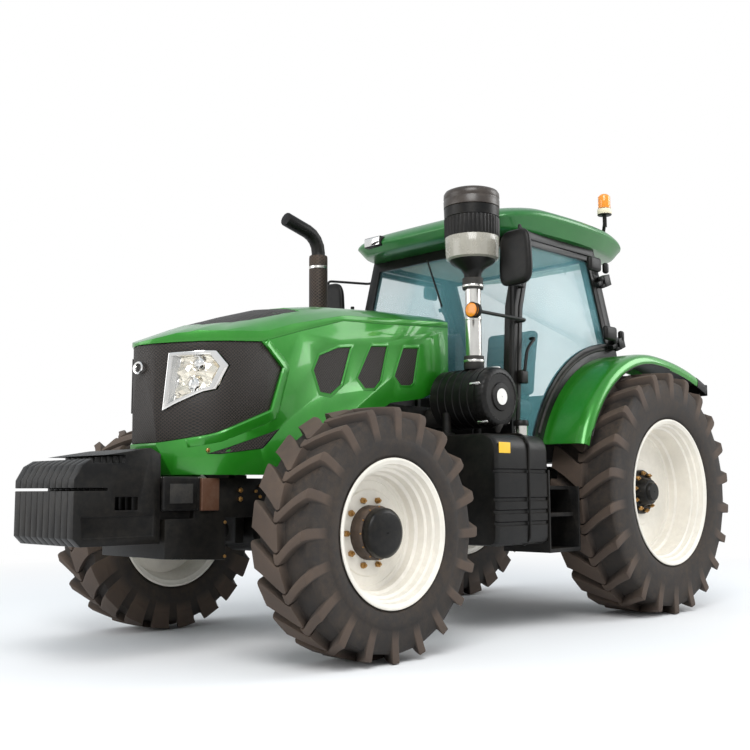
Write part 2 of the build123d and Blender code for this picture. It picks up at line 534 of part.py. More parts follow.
def hood_body(inset):
    """The hood as a closed body, drawn in by a wall thickness."""
    with BuildPart() as body:
        with BuildSketch(Plane.XY.offset(CHIN_Z - 10 if inset else CHIN_Z)):
            with BuildLine():
                Polyline(*HOOD_PLAN, (HOOD_NOSE_X, 0), *[(x, -y) for x, y in reversed(HOOD_PLAN)],
                         close=True)
            make_face()
            if inset:
                offset(amount=-inset, kind=Kind.INTERSECTION)
        extrude(amount=1200)
        if inset:
            block(HOOD_REAR_X - 10, HOOD_REAR_X + 100, inset - HOOD_HALF_WIDTH, HOOD_HALF_WIDTH - inset,
                  CHIN_Z - 10, CHIN_Z + 1190)
        add(crown_block(inset), mode=Mode.INTERSECT)
        side_slab([(HOOD_REAR_X - 60, CHIN_Z - 20), (FRONT_X + 700 - inset, CHIN_Z - 20),
                   (FRONT_X + 757 - inset, 1100), (HOOD_NOSE_X - inset, 1640),
                   (HOOD_NOSE_X - inset, 2200), (HOOD_REAR_X - 60, 2200)], -500, 500,
                  mode=Mode.INTERSECT)
    return body


hood_outer = hood_body(0)
hood_recessed = hood_body(RECESS)
hood_inner = hood_body(HOOD_WALL)

# Screened openings, pressed in by the recess: three in each side, one low one, one on top
SIDE_VENTS = (
    [(1103, 1697), (988, 1714), (1071, 1475), (1159, 1410), (1245, 1417), (1299, 1545), (1253, 1636)],
    [(828, 1735), (679, 1750), (743, 1522), (795, 1470), (881, 1464), (947, 1525)],
    [(543, 1750), (394, 1765), (444, 1531), (473, 1510), (565, 1504), (627, 1561)],
    [(1954, 1060), (1564, 1192), (1668, 1091), (1896, 1059)],
)
TOP_SCREEN = [(-110, 270), (60, 290), (380, 265), (510, 175)]

# Side views that part the shell into its panels, as (x, z)
SEAM = [
    (HOOD_REAR_X - 20, 1925), (FRONT_X - 800, 1885), (FRONT_X - 345, 1858), (FRONT_X, 1759),
    (FRONT_X + 266, 1675)]
GRILLE_EDGE = [
    (FRONT_X + 266, 1675), (FRONT_X + 123, 1540), (FRONT_X + 207, 1300), (FRONT_X + 517, 1168),
    (HOOD_NOSE_X + 30, 1098)]
VISOR_EDGE = [(FRONT_X + 266, 1675), (HOOD_NOSE_X + 30, 1640)]
SIDE_LOWER_EDGE = [
    (FRONT_X + 100, CHIN_Z - 20), (FRONT_X + 100, 958), (FRONT_X - 744, 1395), (FRONT_X - 1026, 1436),
    (FRONT_X - 1215, 1513), (HOOD_REAR_X - 20, 1542)]

PAST_NOSE = HOOD_NOSE_X + 30
PAST_REAR = HOOD_REAR_X - 20
GRILLE_REGION = GRILLE_EDGE + [(PAST_NOSE, 1640)]
with BuildPart() as screen_recess:
    plan_slab([(FRONT_X + x, y) for x, y in TOP_SCREEN]
              + [(FRONT_X + x, -y) for x, y in reversed(TOP_SCREEN)], 1500, 2200)
    add(hood_recessed.part, mode=Mode.SUBTRACT)

with BuildPart() as hood_top:
    add(hood_outer.part)
    add(screen_recess.part, mode=Mode.SUBTRACT)
    add(hood_inner.part, mode=Mode.SUBTRACT)
    side_slab(SEAM + VISOR_EDGE[1:] + [(PAST_NOSE, 2200), (PAST_REAR, 2200)], -500, 500,
              mode=Mode.INTERSECT)
    for side in (-1, 1):
        block(HOOD_PIVOT_X - 30, HOOD_PIVOT_X + 30, side * HOOD_ARM_Y - 8, side * HOOD_ARM_Y + 8,
              HOOD_PIVOT_Z - 30, HOOD_ARM_TOP_Z)
    turned_rod((HOOD_PIVOT_X, -260, HOOD_PIVOT_Z), (HOOD_PIVOT_X, 260, HOOD_PIVOT_Z),
               HOOD_PIVOT_RADIUS + BEARING_GAP, mode=Mode.SUBTRACT)
save(hood_top, "hood_top")

with BuildPart() as hood_sides:
    add(hood_outer.part)
    add(hood_inner.part, mode=Mode.SUBTRACT)
    side_slab([(x, z - PANEL_GAP) for x, z in SEAM] + [(PAST_NOSE, 1640), (PAST_NOSE, CHIN_Z - 20)]
              + SIDE_LOWER_EDGE, -500, 500, mode=Mode.INTERSECT)
    side_slab(GRILLE_REGION, -500, 500, mode=Mode.SUBTRACT)
    for vent in SIDE_VENTS:
        for side in (-1, 1):
            side_slab(vent, side * (HOOD_HALF_WIDTH - RECESS), side * (HOOD_HALF_WIDTH + 40), mode=Mode.SUBTRACT)
save(hood_sides, "hood_sides")

# Lamp pocket seen from in front: across, up
HEADLIGHT_FACE = [(150, 1285), (175, 1590), (330, 1605), (355, 1530), (330, 1400)]
with BuildPart() as grille:
    add(hood_recessed.part)
    add(hood_inner.part, mode=Mode.SUBTRACT)
    side_slab(GRILLE_REGION, -500, 500, mode=Mode.INTERSECT, inset=PANEL_GAP)
    for side in (-1, 1):
        front_slab([(side * y, z) for y, z in HEADLIGHT_FACE], FRONT_X + 400, PAST_NOSE,
                   mode=Mode.SUBTRACT)
save(grille, "grille")

with BuildPart() as headlights:
    add(hood_outer.part)
    add(hood_inner.part, mode=Mode.SUBTRACT)
    with BuildSketch(Plane(origin=(FRONT_X + 400, 0, 0), x_dir=(0, 1, 0), z_dir=(1, 0, 0))) as faces:
        for side in (-1, 1):
            with BuildLine():
                Polyline(*[(side * y, z) for y, z in HEADLIGHT_FACE], close=True)
            make_face()
    extrude(faces.sketch, amount=500, mode=Mode.INTERSECT)
save(headlights, "headlights")

# ================================================================ cab
CAB_HALF_WIDTH = 720.0
CAB_WALL = 40.0
CAB_FLOOR_THICKNESS = 60.0
CAB_EAVES_Z = 2600.0
WHEELHOUSE_RADIUS = 955.0
WHEELHOUSE_Y = CAB_HALF_WIDTH - 35
WHEELHOUSE_WALL = 30.0
DOOR_ARC_RADIUS = 1040.0
WINDOW_FRAME_Y = CAB_HALF_WIDTH - 80
REAR_WINDOW_HALF = CAB_HALF_WIDTH - 120
WINDSHIELD_SILL_Z = 1500.0
REAR_WINDOW_SILL_Z = 1600.0
WINDOW_HEAD_Z = 2520.0
GLASS_THICKNESS = 6.0


def cab_side(inset=0.0):
    """Side view of the cab's outside, with its front and rear walls drawn in."""
    front = [(1250, CAB_FLOOR_Z), (1262, 1250), (1205, 2070), (1060, CAB_EAVES_Z)]
    rear = [(236, CAB_EAVES_Z), (-41, 1860), (-150, 1500), (-190, CAB_FLOOR_Z)]
    return ([(REAR_X + x - inset, z) for x, z in front] + [(REAR_X + x + inset, z) for x, z in rear])


def wheelhouse_cuts(radius, y_near):
    """Cut away the room for both rear wheels."""
    for side in (-1, 1):
        rod((REAR_X, side * y_near, REAR_AXLE_Z), (REAR_X, side * (CAB_HALF_WIDTH + 20), REAR_AXLE_Z),
            radius, mode=Mode.SUBTRACT)


def door_outline(inset):
    """Side view of the left door opening, drawn on a plane outside the cab."""
    with BuildSketch(Plane(origin=(0, CAB_HALF_WIDTH + 40, 0), x_dir=(1, 0, 0), z_dir=(0, -1, 0))) as shape:
        with BuildLine():
            Polyline((REAR_X + 980, 1150), (REAR_X + 1225, 1150), (REAR_X + 1165, 2060),
                     (REAR_X + 1030, 2545), (REAR_X + 292, 2545), (REAR_X + 35, 1860), close=True)
        make_face()
        with Locations((REAR_X, REAR_AXLE_Z)):
            Circle(DOOR_ARC_RADIUS, mode=Mode.SUBTRACT)
        if inset:
            offset(amount=-inset, kind=Kind.INTERSECTION)
    return shape.sketch


with BuildPart() as cab_cavity:
    side_slab(cab_side(CAB_WALL), -CAB_HALF_WIDTH + CAB_WALL, CAB_HALF_WIDTH - CAB_WALL)
    wheelhouse_cuts(WHEELHOUSE_RADIUS + WHEELHOUSE_WALL, WHEELHOUSE_Y - WHEELHOUSE_WALL)

with BuildPart() as cab_frame:
    side_slab(cab_side(), -CAB_HALF_WIDTH, CAB_HALF_WIDTH)
    wheelhouse_cuts(WHEELHOUSE_RADIUS, WHEELHOUSE_Y)
    add(cab_cavity.part, mode=Mode.SUBTRACT)
    block(REAR_X + 900, REAR_X + 1400, -WINDOW_FRAME_Y, WINDOW_FRAME_Y, WINDSHIELD_SILL_Z, WINDOW_HEAD_Z,
          mode=Mode.SUBTRACT)
    block(REAR_X - 300, REAR_X + 400, -REAR_WINDOW_HALF, REAR_WINDOW_HALF, REAR_WINDOW_SILL_Z,
          WINDOW_HEAD_Z, mode=Mode.SUBTRACT)
    door_hole = extrude(door_outline(0), amount=120, mode=Mode.PRIVATE)
    add(door_hole, mode=Mode.SUBTRACT)
    add(mirror(door_hole, about=Plane.XZ, mode=Mode.PRIVATE), mode=Mode.SUBTRACT)
save(cab_frame, "cab_frame")

with BuildPart() as cab_floor:
    floor_half = WHEELHOUSE_Y - WHEELHOUSE_WALL - SEAT_GAP
    block(REAR_X - 190 + CAB_WALL + 8, REAR_X + 1250 - CAB_WALL - 2, -floor_half, floor_half, CAB_FLOOR_Z,
          CAB_FLOOR_Z + CAB_FLOOR_THICKNESS)
save(cab_floor, "cab_floor")

with BuildPart() as windshield:
    side_slab(cab_side(16), -WINDOW_FRAME_Y + SEAT_GAP, WINDOW_FRAME_Y - SEAT_GAP)
    side_slab(cab_side(16 + GLASS_THICKNESS), -WINDOW_FRAME_Y, WINDOW_FRAME_Y, mode=Mode.SUBTRACT)
    block(REAR_X + 900, REAR_X + 1400, -WINDOW_FRAME_Y, WINDOW_FRAME_Y, WINDSHIELD_SILL_Z + SEAT_GAP,
          WINDOW_HEAD_Z - SEAT_GAP, mode=Mode.INTERSECT)
save(windshield, "windshield")

# Rear window: a frameless pane, hung from two hinges at its head
WINDOW_HINGE_X = REAR_X + 190
WINDOW_HINGE_Z = 2532.0
WINDOW_HINGE_Y = 420.0
WINDOW_HINGE_RADIUS = 10.0
with BuildPart() as rear_window:
    side_slab(cab_side(10), -REAR_WINDOW_HALF + SWING_GAP, REAR_WINDOW_HALF - SWING_GAP)
    side_slab(cab_side(10 + GLASS_THICKNESS), -REAR_WINDOW_HALF, REAR_WINDOW_HALF, mode=Mode.SUBTRACT)
    block(REAR_X - 300, REAR_X + 400, -REAR_WINDOW_HALF, REAR_WINDOW_HALF,
          REAR_WINDOW_SILL_Z + SWING_GAP, WINDOW_HEAD_Z - SWING_GAP, mode=Mode.INTERSECT)
    for side in (-1, 1):
        block(WINDOW_HINGE_X - 12, REAR_X + 222, side * WINDOW_HINGE_Y - 20, side * WINDOW_HINGE_Y + 20, 2470, 2500)
        block(WINDOW_HINGE_X - 12, WINDOW_HINGE_X + 4, side * WINDOW_HINGE_Y - 20, side * WINDOW_HINGE_Y + 20, 2470,
              WINDOW_HINGE_Z)
        turned_rod((WINDOW_HINGE_X, side * WINDOW_HINGE_Y - 20, WINDOW_HINGE_Z),
                   (WINDOW_HINGE_X, side * WINDOW_HINGE_Y + 20, WINDOW_HINGE_Z), WINDOW_HINGE_RADIUS)
save(rear_window, "rear_window")

# Doors: a frame with a pane in it, hung on a leaning axis at the rear pillar
DOOR_INNER_Y = CAB_HALF_WIDTH - 30
DOOR_OUTER_Y = CAB_HALF_WIDTH + 2
DOOR_FRAME_WIDTH = 36.0
HINGE_Y = CAB_HALF_WIDTH + 40
HINGE_LOW = (REAR_X + 30, 1895.0)
HINGE_HIGH = (REAR_X + 200, 2340.0)
HINGE_LENGTH = 30.0
BARREL_RADIUS = 12.0
hinge_run = Vector(HINGE_HIGH[0] - HINGE_LOW[0], 0, HINGE_HIGH[1] - HINGE_LOW[1]).normalized()


def hinge_plane(place):
    """A hinge of the left door: local X forward, local Y outward, local Z along its axis."""
    return Plane(origin=(place[0], HINGE_Y, place[1]), x_dir=(hinge_run.Z, 0, -hinge_run.X),
                 z_dir=hinge_run)


def hinge_block(plane, x_from, x_to, y_from, y_to, z_from, z_to):
    """A block in a hinge's own directions."""
    with BuildSketch(plane.offset(z_from)) as section:
        with Locations(((x_from + x_to) / 2, (y_from + y_to) / 2)):
            Rectangle(x_to - x_from, y_to - y_from)
    extrude(section.sketch, amount=z_to - z_from)


with BuildPart() as door:
    outside = extrude(door_outline(SWING_GAP), amount=CAB_HALF_WIDTH + 40 - DOOR_INNER_Y,
                      mode=Mode.PRIVATE)
    add(outside)
    inside = extrude(door_outline(SWING_GAP + DOOR_FRAME_WIDTH), amount=120, mode=Mode.PRIVATE)
    add(inside, mode=Mode.SUBTRACT)
    block(REAR_X - 200, REAR_X + 1400, DOOR_INNER_Y, DOOR_OUTER_Y, 1000, 2600, mode=Mode.INTERSECT)
    # the corner below the lower hinge is cropped, so that it clears the frame as the door swings
    block(REAR_X, REAR_X + 115, DOOR_INNER_Y - 1, DOOR_OUTER_Y + 1, 1860, HINGE_LOW[1] - 2, mode=Mode.SUBTRACT)
    for place in (HINGE_LOW, HINGE_HIGH):
        plane = hinge_plane(place)
        turned_rod(plane.origin, plane.origin + hinge_run * HINGE_LENGTH, BARREL_RADIUS)
        hinge_block(plane, 0, 50, -8, 8, 0, HINGE_LENGTH)
        hinge_block(plane, 16, 50, DOOR_OUTER_Y - HINGE_Y - 2, -6, 0, HINGE_LENGTH)
save_pair(door, "door")

with BuildPart() as door_glass:
    pane = extrude(door_outline(SWING_GAP + DOOR_FRAME_WIDTH + SEAT_GAP), amount=120, mode=Mode.PRIVATE)
    add(pane)
    block(REAR_X - 200, REAR_X + 1400, DOOR_INNER_Y + 12, DOOR_INNER_Y + 12 + GLASS_THICKNESS, 1000, 2600,
          mode=Mode.INTERSECT)
save_pair(door_glass, "door_glass")

# Fixed halves of the door and window hinges
HINGE_EAR = 25.0
with BuildPart() as door_hinge:
    for place in (HINGE_LOW, HINGE_HIGH):
        plane = hinge_plane(place)
        hinge_block(plane, -100, -24, CAB_HALF_WIDTH - HINGE_Y + SEAT_GAP, 20, -HINGE_EAR, HINGE_LENGTH + HINGE_EAR)
        for low, high in ((-HINGE_EAR, -BEARING_GAP), (HINGE_LENGTH + BEARING_GAP, HINGE_LENGTH + HINGE_EAR)):
            hinge_block(plane, -26, 0, -8, 16, low, high)
            rod(plane.origin + hinge_run * low, plane.origin + hinge_run * high, BARREL_RADIUS + 4)
with BuildPart() as cab_hinges:
    add(door_hinge.part)
    mirror(door_hinge.part, about=Plane.XZ)
    for side in (-1, 1):
        y_low, y_high = sorted((side * (WINDOW_HINGE_Y + 20 + BEARING_GAP), side * (WINDOW_HINGE_Y + 60)))
        rod((WINDOW_HINGE_X, y_low, WINDOW_HINGE_Z), (WINDOW_HINGE_X, y_high, WINDOW_HINGE_Z),
            WINDOW_HINGE_RADIUS)
        block(WINDOW_HINGE_X, REAR_X + 240, y_low, y_high, WINDOW_HINGE_Z - 6, WINDOW_HINGE_Z + 10)
    add(cab_frame.part, mode=Mode.SUBTRACT)
save(cab_hinges, "cab_hinges")

# Roof: one deep moulding with a dropped rear edge
ROOF_HALF_WIDTH = CAB_HALF_WIDTH + 100
ROOF_UNDERSIDE_Z = CAB_EAVES_Z + SEAT_GAP
# Half of the roof in plan: ahead of the rear axle, narrower than the widest place by
ROOF_PLAN = ((-260, 260), (-180, 160), (150, 0), (1050, 20), (1330, 140), (1440, 420))
with BuildPart() as roof:
    side_slab([(REAR_X + 1300, ROOF_UNDERSIDE_Z), (REAR_X + 1400, 2660), (REAR_X + 1430, 2710),
               (REAR_X + 1300, 2780), (REAR_X + 640, 2850), (REAR_X + 150, 2830), (REAR_X - 210, 2745),
               (REAR_X - 250, 2710), (REAR_X + 60, ROOF_UNDERSIDE_Z)], -ROOF_HALF_WIDTH, ROOF_HALF_WIDTH)
    half_plan = [(REAR_X + x, ROOF_HALF_WIDTH - narrower) for x, narrower in ROOF_PLAN]
    plan_slab([(x, -y) for x, y in half_plan] + half_plan[::-1], ROOF_UNDERSIDE_Z - 100, ROOF_UNDERSIDE_Z + 300,
              mode=Mode.INTERSECT)
    half_front = [(ROOF_HALF_WIDTH + 10, ROOF_UNDERSIDE_Z - 10), (ROOF_HALF_WIDTH + 10, ROOF_UNDERSIDE_Z + 140),
                  (ROOF_HALF_WIDTH - 180, ROOF_UNDERSIDE_Z + 260)]
    front_slab([(-y, z) for y, z in half_front] + half_front[::-1], REAR_X - 300, REAR_X + 1500,
               mode=Mode.INTERSECT)
save(roof, "roof")

# ================================================================ fenders
FENDER_RADIUS = 985.0
FENDER_THICKNESS = 14.0
FENDER_OUTER_Y = 1050.0
FENDER_LIP = 80.0
FENDER_FRONT_ANGLE = radians(19)
FENDER_REAR_INNER_Y = 655.0


def fender_outline(inset):
    """Side view of everything under the fender's skin, drawn on its outer face."""
    reach = FENDER_RADIUS - inset
    crest_z = REAR_AXLE_Z + reach
    tail = (REAR_X - 800 + inset, 1665 - inset)
    front = (REAR_X + reach * cos(FENDER_FRONT_ANGLE), REAR_AXLE_Z + reach * sin(FENDER_FRONT_ANGLE))
    with BuildSketch(Plane(origin=(0, FENDER_OUTER_Y, 0), x_dir=(1, 0, 0), z_dir=(0, -1, 0))) as shape:
        with BuildLine():
            ThreePointArc(front, (REAR_X + reach * cos(pi / 4), REAR_AXLE_Z + reach * sin(pi / 4)),
                          (REAR_X, crest_z))
            ThreePointArc((REAR_X, crest_z), (REAR_X - 430, crest_z - 38), tail)
            Line(tail, (REAR_X, REAR_AXLE_Z + 200))
            Line((REAR_X, REAR_AXLE_Z + 200), front)
        make_face()
    return shape.sketch


with BuildPart() as fender_hollow:
    extrude(fender_outline(FENDER_THICKNESS), amount=FENDER_OUTER_Y)
    block(REAR_X - 900, REAR_X + 1100, FENDER_REAR_INNER_Y + FENDER_THICKNESS,
          FENDER_OUTER_Y - FENDER_THICKNESS, 900, 1900, mode=Mode.INTERSECT)
    extrude(fender_outline(FENDER_LIP), amount=FENDER_OUTER_Y)

with BuildPart() as fender:
    extrude(fender_outline(0), amount=FENDER_OUTER_Y - FENDER_REAR_INNER_Y)
    add(fender_hollow.part, mode=Mode.SUBTRACT)
    block(REAR_X - 250, REAR_X + 1100, FENDER_REAR_INNER_Y - 5, CAB_HALF_WIDTH + SEAT_GAP, 900, 1900,
          mode=Mode.SUBTRACT)
    block(REAR_X - 806, REAR_X - 785, FENDER_REAR_INNER_Y + 5, FENDER_OUTER_Y - 5, 1565, 1660)
save_both(fender, "fenders")

# Tail lamps on the backs of the fenders
with BuildPart() as tail_lamp:
    block(REAR_X - 834, REAR_X - 806 - SEAT_GAP, FENDER_REAR_INNER_Y + 60, FENDER_OUTER_Y - 60, 1575, 1650)
save_both(tail_lamp, "tail_lamps")

# ================================================================ tank, steps and side boxes
TANK_LENGTH = 532.0
TANK_FRONT_X = TANK_REAR_X + TANK_LENGTH
TANK_OUTER_Y = 1000.0
TANK_BOTTOM_Z = 530.0
TANK_TOP_Z = 1200.0
FILLER_X = TANK_REAR_X + 85
TANK_GROOVES = (TANK_REAR_X + 150, TANK_REAR_X + 290, TANK_REAR_X + 430)
with BuildPart() as fuel_tank:
    block(TANK_REAR_X, TANK_FRONT_X, TANK_INNER_Y, TANK_OUTER_Y, TANK_BOTTOM_Z, TANK_TOP_Z)
    chamfer(fuel_tank.edges().filter_by(Axis.X), 45)
    for x in TANK_GROOVES:
        block(x - 8, x + 8, TANK_OUTER_Y - 9, TANK_OUTER_Y + 10, TANK_BOTTOM_Z + 90, TANK_TOP_Z - 90,
              mode=Mode.SUBTRACT)
    rod((FILLER_X, 860, TANK_TOP_Z - 5), (FILLER_X, 860, TANK_TOP_Z + 95), 45)
save(fuel_tank, "fuel_tank")

with BuildPart() as battery_box:
    block(TANK_REAR_X, TANK_FRONT_X, -TANK_OUTER_Y, -TANK_INNER_Y, TANK_BOTTOM_Z, TANK_TOP_Z)
    chamfer(battery_box.edges().filter_by(Axis.X), 25)
save(battery_box, "battery_box")

STEP_INNER_Y = 640.0
STEP_DEPTH = 340.0
STEP_BOTTOM_Z = 470.0
PLATE = 14.0
with BuildPart() as steps:
    front = TANK_REAR_X - SEAT_GAP
    rear = front - STEP_DEPTH
    block(front - PLATE, front, STEP_INNER_Y, TANK_OUTER_Y, STEP_BOTTOM_Z, 980)
    block(rear, rear + PLATE, STEP_INNER_Y, TANK_OUTER_Y, STEP_BOTTOM_Z, 880)
    for z in (STEP_BOTTOM_Z, 690, 860):
        block(rear, front, STEP_INNER_Y, TANK_OUTER_Y - (z - STEP_BOTTOM_Z) * 0.2, z, z + 24)
save_both(steps, "steps")

# ================================================================ air intake and exhaust
DRUM_X = REAR_X + 1570
DRUM_Z = 1430.0
DRUM_RADIUS = 190.0
DRUM_INNER_Y = 450.0
DRUM_OUTER_Y = 900.0
DUCT_Z = DRUM_Z - 100
DUCT_RADIUS = 60.0
INTAKE_Y = 665.0
with BuildPart() as air_cleaner:
    rod((DRUM_X, DRUM_INNER_Y, DRUM_Z), (DRUM_X, DRUM_OUTER_Y, DRUM_Z), DRUM_RADIUS)
    for y in (DRUM_INNER_Y + 110, DRUM_OUTER_Y - 100):
        rod((DRUM_X, y, TANK_TOP_Z + SEAT_GAP), (DRUM_X, y, DRUM_Z), 40)
    rod((DRUM_X, ENGINE_HALF_WIDTH + SEAT_GAP, DUCT_Z), (DRUM_X, DRUM_INNER_Y + 20, DUCT_Z), DUCT_RADIUS)
save(air_cleaner, "air_cleaner")

INTAKE_PIPE_RADIUS = 52.0
PRECLEANER_RADIUS = 180.0
PRECLEANER_BOTTOM_Z = 2170.0
PRECLEANER_TOP_Z = 2770.0
with BuildPart() as intake_pipe:
    rod((DRUM_X, INTAKE_Y, DRUM_Z + DRUM_RADIUS + SEAT_GAP), (DRUM_X, INTAKE_Y, PRECLEANER_BOTTOM_Z),
        INTAKE_PIPE_RADIUS)
save(intake_pipe, "intake_pipe")

# Pre-cleaner: neck, bowl, vaned band and cap, one above the other
PRECLEANER_STAGES = (
    # top of the stage, its radius
    (2260.0, 60.0), (2460.0, 170.0), (2620.0, PRECLEANER_RADIUS - 4), (PRECLEANER_TOP_Z, PRECLEANER_RADIUS))
with BuildPart() as pre_cleaner:
    stage_bottom = PRECLEANER_BOTTOM_Z + SEAT_GAP
    for stage_top, radius in PRECLEANER_STAGES:
        rod((DRUM_X, INTAKE_Y, stage_bottom), (DRUM_X, INTAKE_Y, stage_top), radius)
        stage_bottom = stage_top
save(pre_cleaner, "pre_cleaner")

EXHAUST_X = REAR_X + 1660
EXHAUST_Y = -700.0
EXHAUST_RADIUS = 50.0
SHIELD_RADIUS = 64.0
MANIFOLD_Z = 1320.0
SHIELD_BOTTOM_Z = 1470.0
SHIELD_TOP_Z = 2560.0
ELBOW_Z = 2580.0
ELBOW_RADIUS = 150.0
ELBOW_TURN = radians(75)
TAILPIPE_LENGTH = 210.0
with BuildPart() as exhaust:
    rod((EXHAUST_X, -ENGINE_HALF_WIDTH - SEAT_GAP, MANIFOLD_Z), (EXHAUST_X, EXHAUST_Y, MANIFOLD_Z),
        EXHAUST_RADIUS)
    rod((EXHAUST_X, EXHAUST_Y, MANIFOLD_Z - EXHAUST_RADIUS), (EXHAUST_X, EXHAUST_Y, SHIELD_BOTTOM_Z),
        EXHAUST_RADIUS)
    rod((EXHAUST_X, EXHAUST_Y, SHIELD_BOTTOM_Z), (EXHAUST_X, EXHAUST_Y, SHIELD_TOP_Z), SHIELD_RADIUS)

    def on_elbow(angle):
        """A point of the tailpipe's bend, by how far it has turned forwards."""
        return (EXHAUST_X + ELBOW_RADIUS * (1 - cos(angle)), EXHAUST_Y, ELBOW_Z + ELBOW_RADIUS * sin(angle))

    bend_end = on_elbow(ELBOW_TURN)
    tip = (bend_end[0] + TAILPIPE_LENGTH * sin(ELBOW_TURN), EXHAUST_Y,
           bend_end[2] + TAILPIPE_LENGTH * cos(ELBOW_TURN))
    with BuildLine():
        Polyline((EXHAUST_X, EXHAUST_Y, SHIELD_TOP_Z), *[on_elbow(ELBOW_TURN * step / 4) for step in range(5)],
                 tip)
    with BuildSketch(Plane.XY.offset(SHIELD_TOP_Z)):
        with Locations((EXHAUST_X, EXHAUST_Y)):
            RegularPolygon(EXHAUST_RADIUS, 12)
    sweep(transition=Transition.RIGHT)
save(exhaust, "exhaust")

# ================================================================ lamps, mirrors, rails
BEACON_X = REAR_X + 100
BEACON_Y = ROOF_HALF_WIDTH - 80
BEACON_CUP_Z = ROOF_UNDERSIDE_Z + 280
BEACON_BASE_Z = BEACON_CUP_Z + 50
BEACON_TOP_Z = 3040.0
TURN_LAMP_X = REAR_X + 1735
TURN_LAMP_Y = CAB_HALF_WIDTH + 80
TURN_LAMP_Z = 1960.0
BRACKET_RADIUS = 12.0
# Left turn lamp's tube, which leaves the front pillar sideways and turns forwards, and its housing
with BuildPart() as turn_bracket:
    tube_x = REAR_X + 1188
    with BuildLine():
        Polyline((tube_x, CAB_HALF_WIDTH + SEAT_GAP, TURN_LAMP_Z), (tube_x, TURN_LAMP_Y - 24, TURN_LAMP_Z),
                 (tube_x + 24, TURN_LAMP_Y, TURN_LAMP_Z), (TURN_LAMP_X - 20, TURN_LAMP_Y, TURN_LAMP_Z))
    with BuildSketch(Plane.XZ.offset(-CAB_HALF_WIDTH - SEAT_GAP)):
        with Locations((tube_x, TURN_LAMP_Z)):
            RegularPolygon(BRACKET_RADIUS, 8)
    sweep(transition=Transition.RIGHT)
    rod((TURN_LAMP_X - 30, TURN_LAMP_Y, TURN_LAMP_Z), (TURN_LAMP_X, TURN_LAMP_Y, TURN_LAMP_Z), 48)
with BuildPart() as lamp_brackets:
    rod((BEACON_X, BEACON_Y, ROOF_UNDERSIDE_Z + 140), (BEACON_X, BEACON_Y, BEACON_CUP_Z + 10), 16)
    rod((BEACON_X, BEACON_Y, BEACON_CUP_Z), (BEACON_X, BEACON_Y, BEACON_BASE_Z), 52)
    add(roof.part, mode=Mode.SUBTRACT)
    add(turn_bracket.part)
    mirror(turn_bracket.part, about=Plane.XZ)
save(lamp_brackets, "lamp_brackets")

with BuildPart() as amber_lamps:
    rod((BEACON_X, BEACON_Y, BEACON_BASE_Z + SEAT_GAP), (BEACON_X, BEACON_Y, BEACON_TOP_Z), 45)
    chamfer(amber_lamps.faces().sort_by(Axis.Z)[-1].edges(), 18)
    for side in (-1, 1):
        rod((TURN_LAMP_X + SEAT_GAP, side * TURN_LAMP_Y, TURN_LAMP_Z),
            (TURN_LAMP_X + 26, side * TURN_LAMP_Y, TURN_LAMP_Z), 44)
save(amber_lamps, "amber_lamps")

MIRROR_Y = CAB_HALF_WIDTH + 280
ARM_RADIUS = 14.0
# side, x and lowest z of the housing
MIRRORS = ((1, REAR_X + 1516, 2130.0), (-1, REAR_X + 1284, 2100.0))
with BuildPart() as mirrors:
    for side, x, z in MIRRORS:
        block(x - 24, x + 24, side * MIRROR_Y - 85, side * MIRROR_Y + 85, z, z + 335)
        foot_y = side * (CAB_HALF_WIDTH + SEAT_GAP)
        rod((REAR_X + 1083, foot_y, z + 345), (REAR_X + 1083, foot_y + side * 30, z + 345), 14)
        rod((REAR_X + 1083, foot_y + side * 20, z + 345), (x, side * MIRROR_Y, z + 375), ARM_RADIUS - 3)
        rod((x, side * MIRROR_Y, z + 300), (x, side * MIRROR_Y, z + 389), ARM_RADIUS)
save(mirrors, "mirrors")

RAIL_X = REAR_X + 1300
RAIL_Y = CAB_HALF_WIDTH + 25
RAIL_LEAN = 30.0
with BuildPart() as grab_rail:
    rod((RAIL_X, RAIL_Y, 1400), (RAIL_X - RAIL_LEAN, RAIL_Y, 2240), ARM_RADIUS)
    for rail_x, foot_x, z in ((RAIL_X, REAR_X + 1236, 1440), (RAIL_X - RAIL_LEAN, REAR_X + 1150, 2200)):
        rod((rail_x, RAIL_Y, z), (foot_x, RAIL_Y, z), 10)
        rod((foot_x, CAB_HALF_WIDTH + SEAT_GAP, z), (foot_x, RAIL_Y + 10, z), ARM_RADIUS)
save_both(grab_rail, "grab_rails")

# ================================================================ inside the cab
SEAT_X = REAR_X + 560
CAB_FLOOR_TOP_Z = CAB_FLOOR_Z + CAB_FLOOR_THICKNESS
SEAT_BASE_TOP_Z = 1400.0
CUSHION_THICKNESS = 120.0
with BuildPart() as seat_base:
    block(SEAT_X - 180, SEAT_X + 180, -170, 170, CAB_FLOOR_TOP_Z + SEAT_GAP, SEAT_BASE_TOP_Z)
    side_slab([(SEAT_X - 150, SEAT_BASE_TOP_Z - 60), (SEAT_X - 275, SEAT_BASE_TOP_Z - 60),
               (SEAT_X - 275, SEAT_BASE_TOP_Z + 40), (SEAT_X - 375, 2000), (SEAT_X - 350, 2000),
               (SEAT_X - 250, SEAT_BASE_TOP_Z + 40), (SEAT_X - 250, SEAT_BASE_TOP_Z),
               (SEAT_X - 150, SEAT_BASE_TOP_Z)], -140, 140)
save(seat_base, "seat_base")
with BuildPart() as seat_cushion:
    block(SEAT_X - 240, SEAT_X + 260, -250, 250, SEAT_BASE_TOP_Z + SEAT_GAP,
          SEAT_BASE_TOP_Z + CUSHION_THICKNESS)
    fillet(seat_cushion.edges().filter_by(Axis.Z), 60)
save(seat_cushion, "seat_cushion")
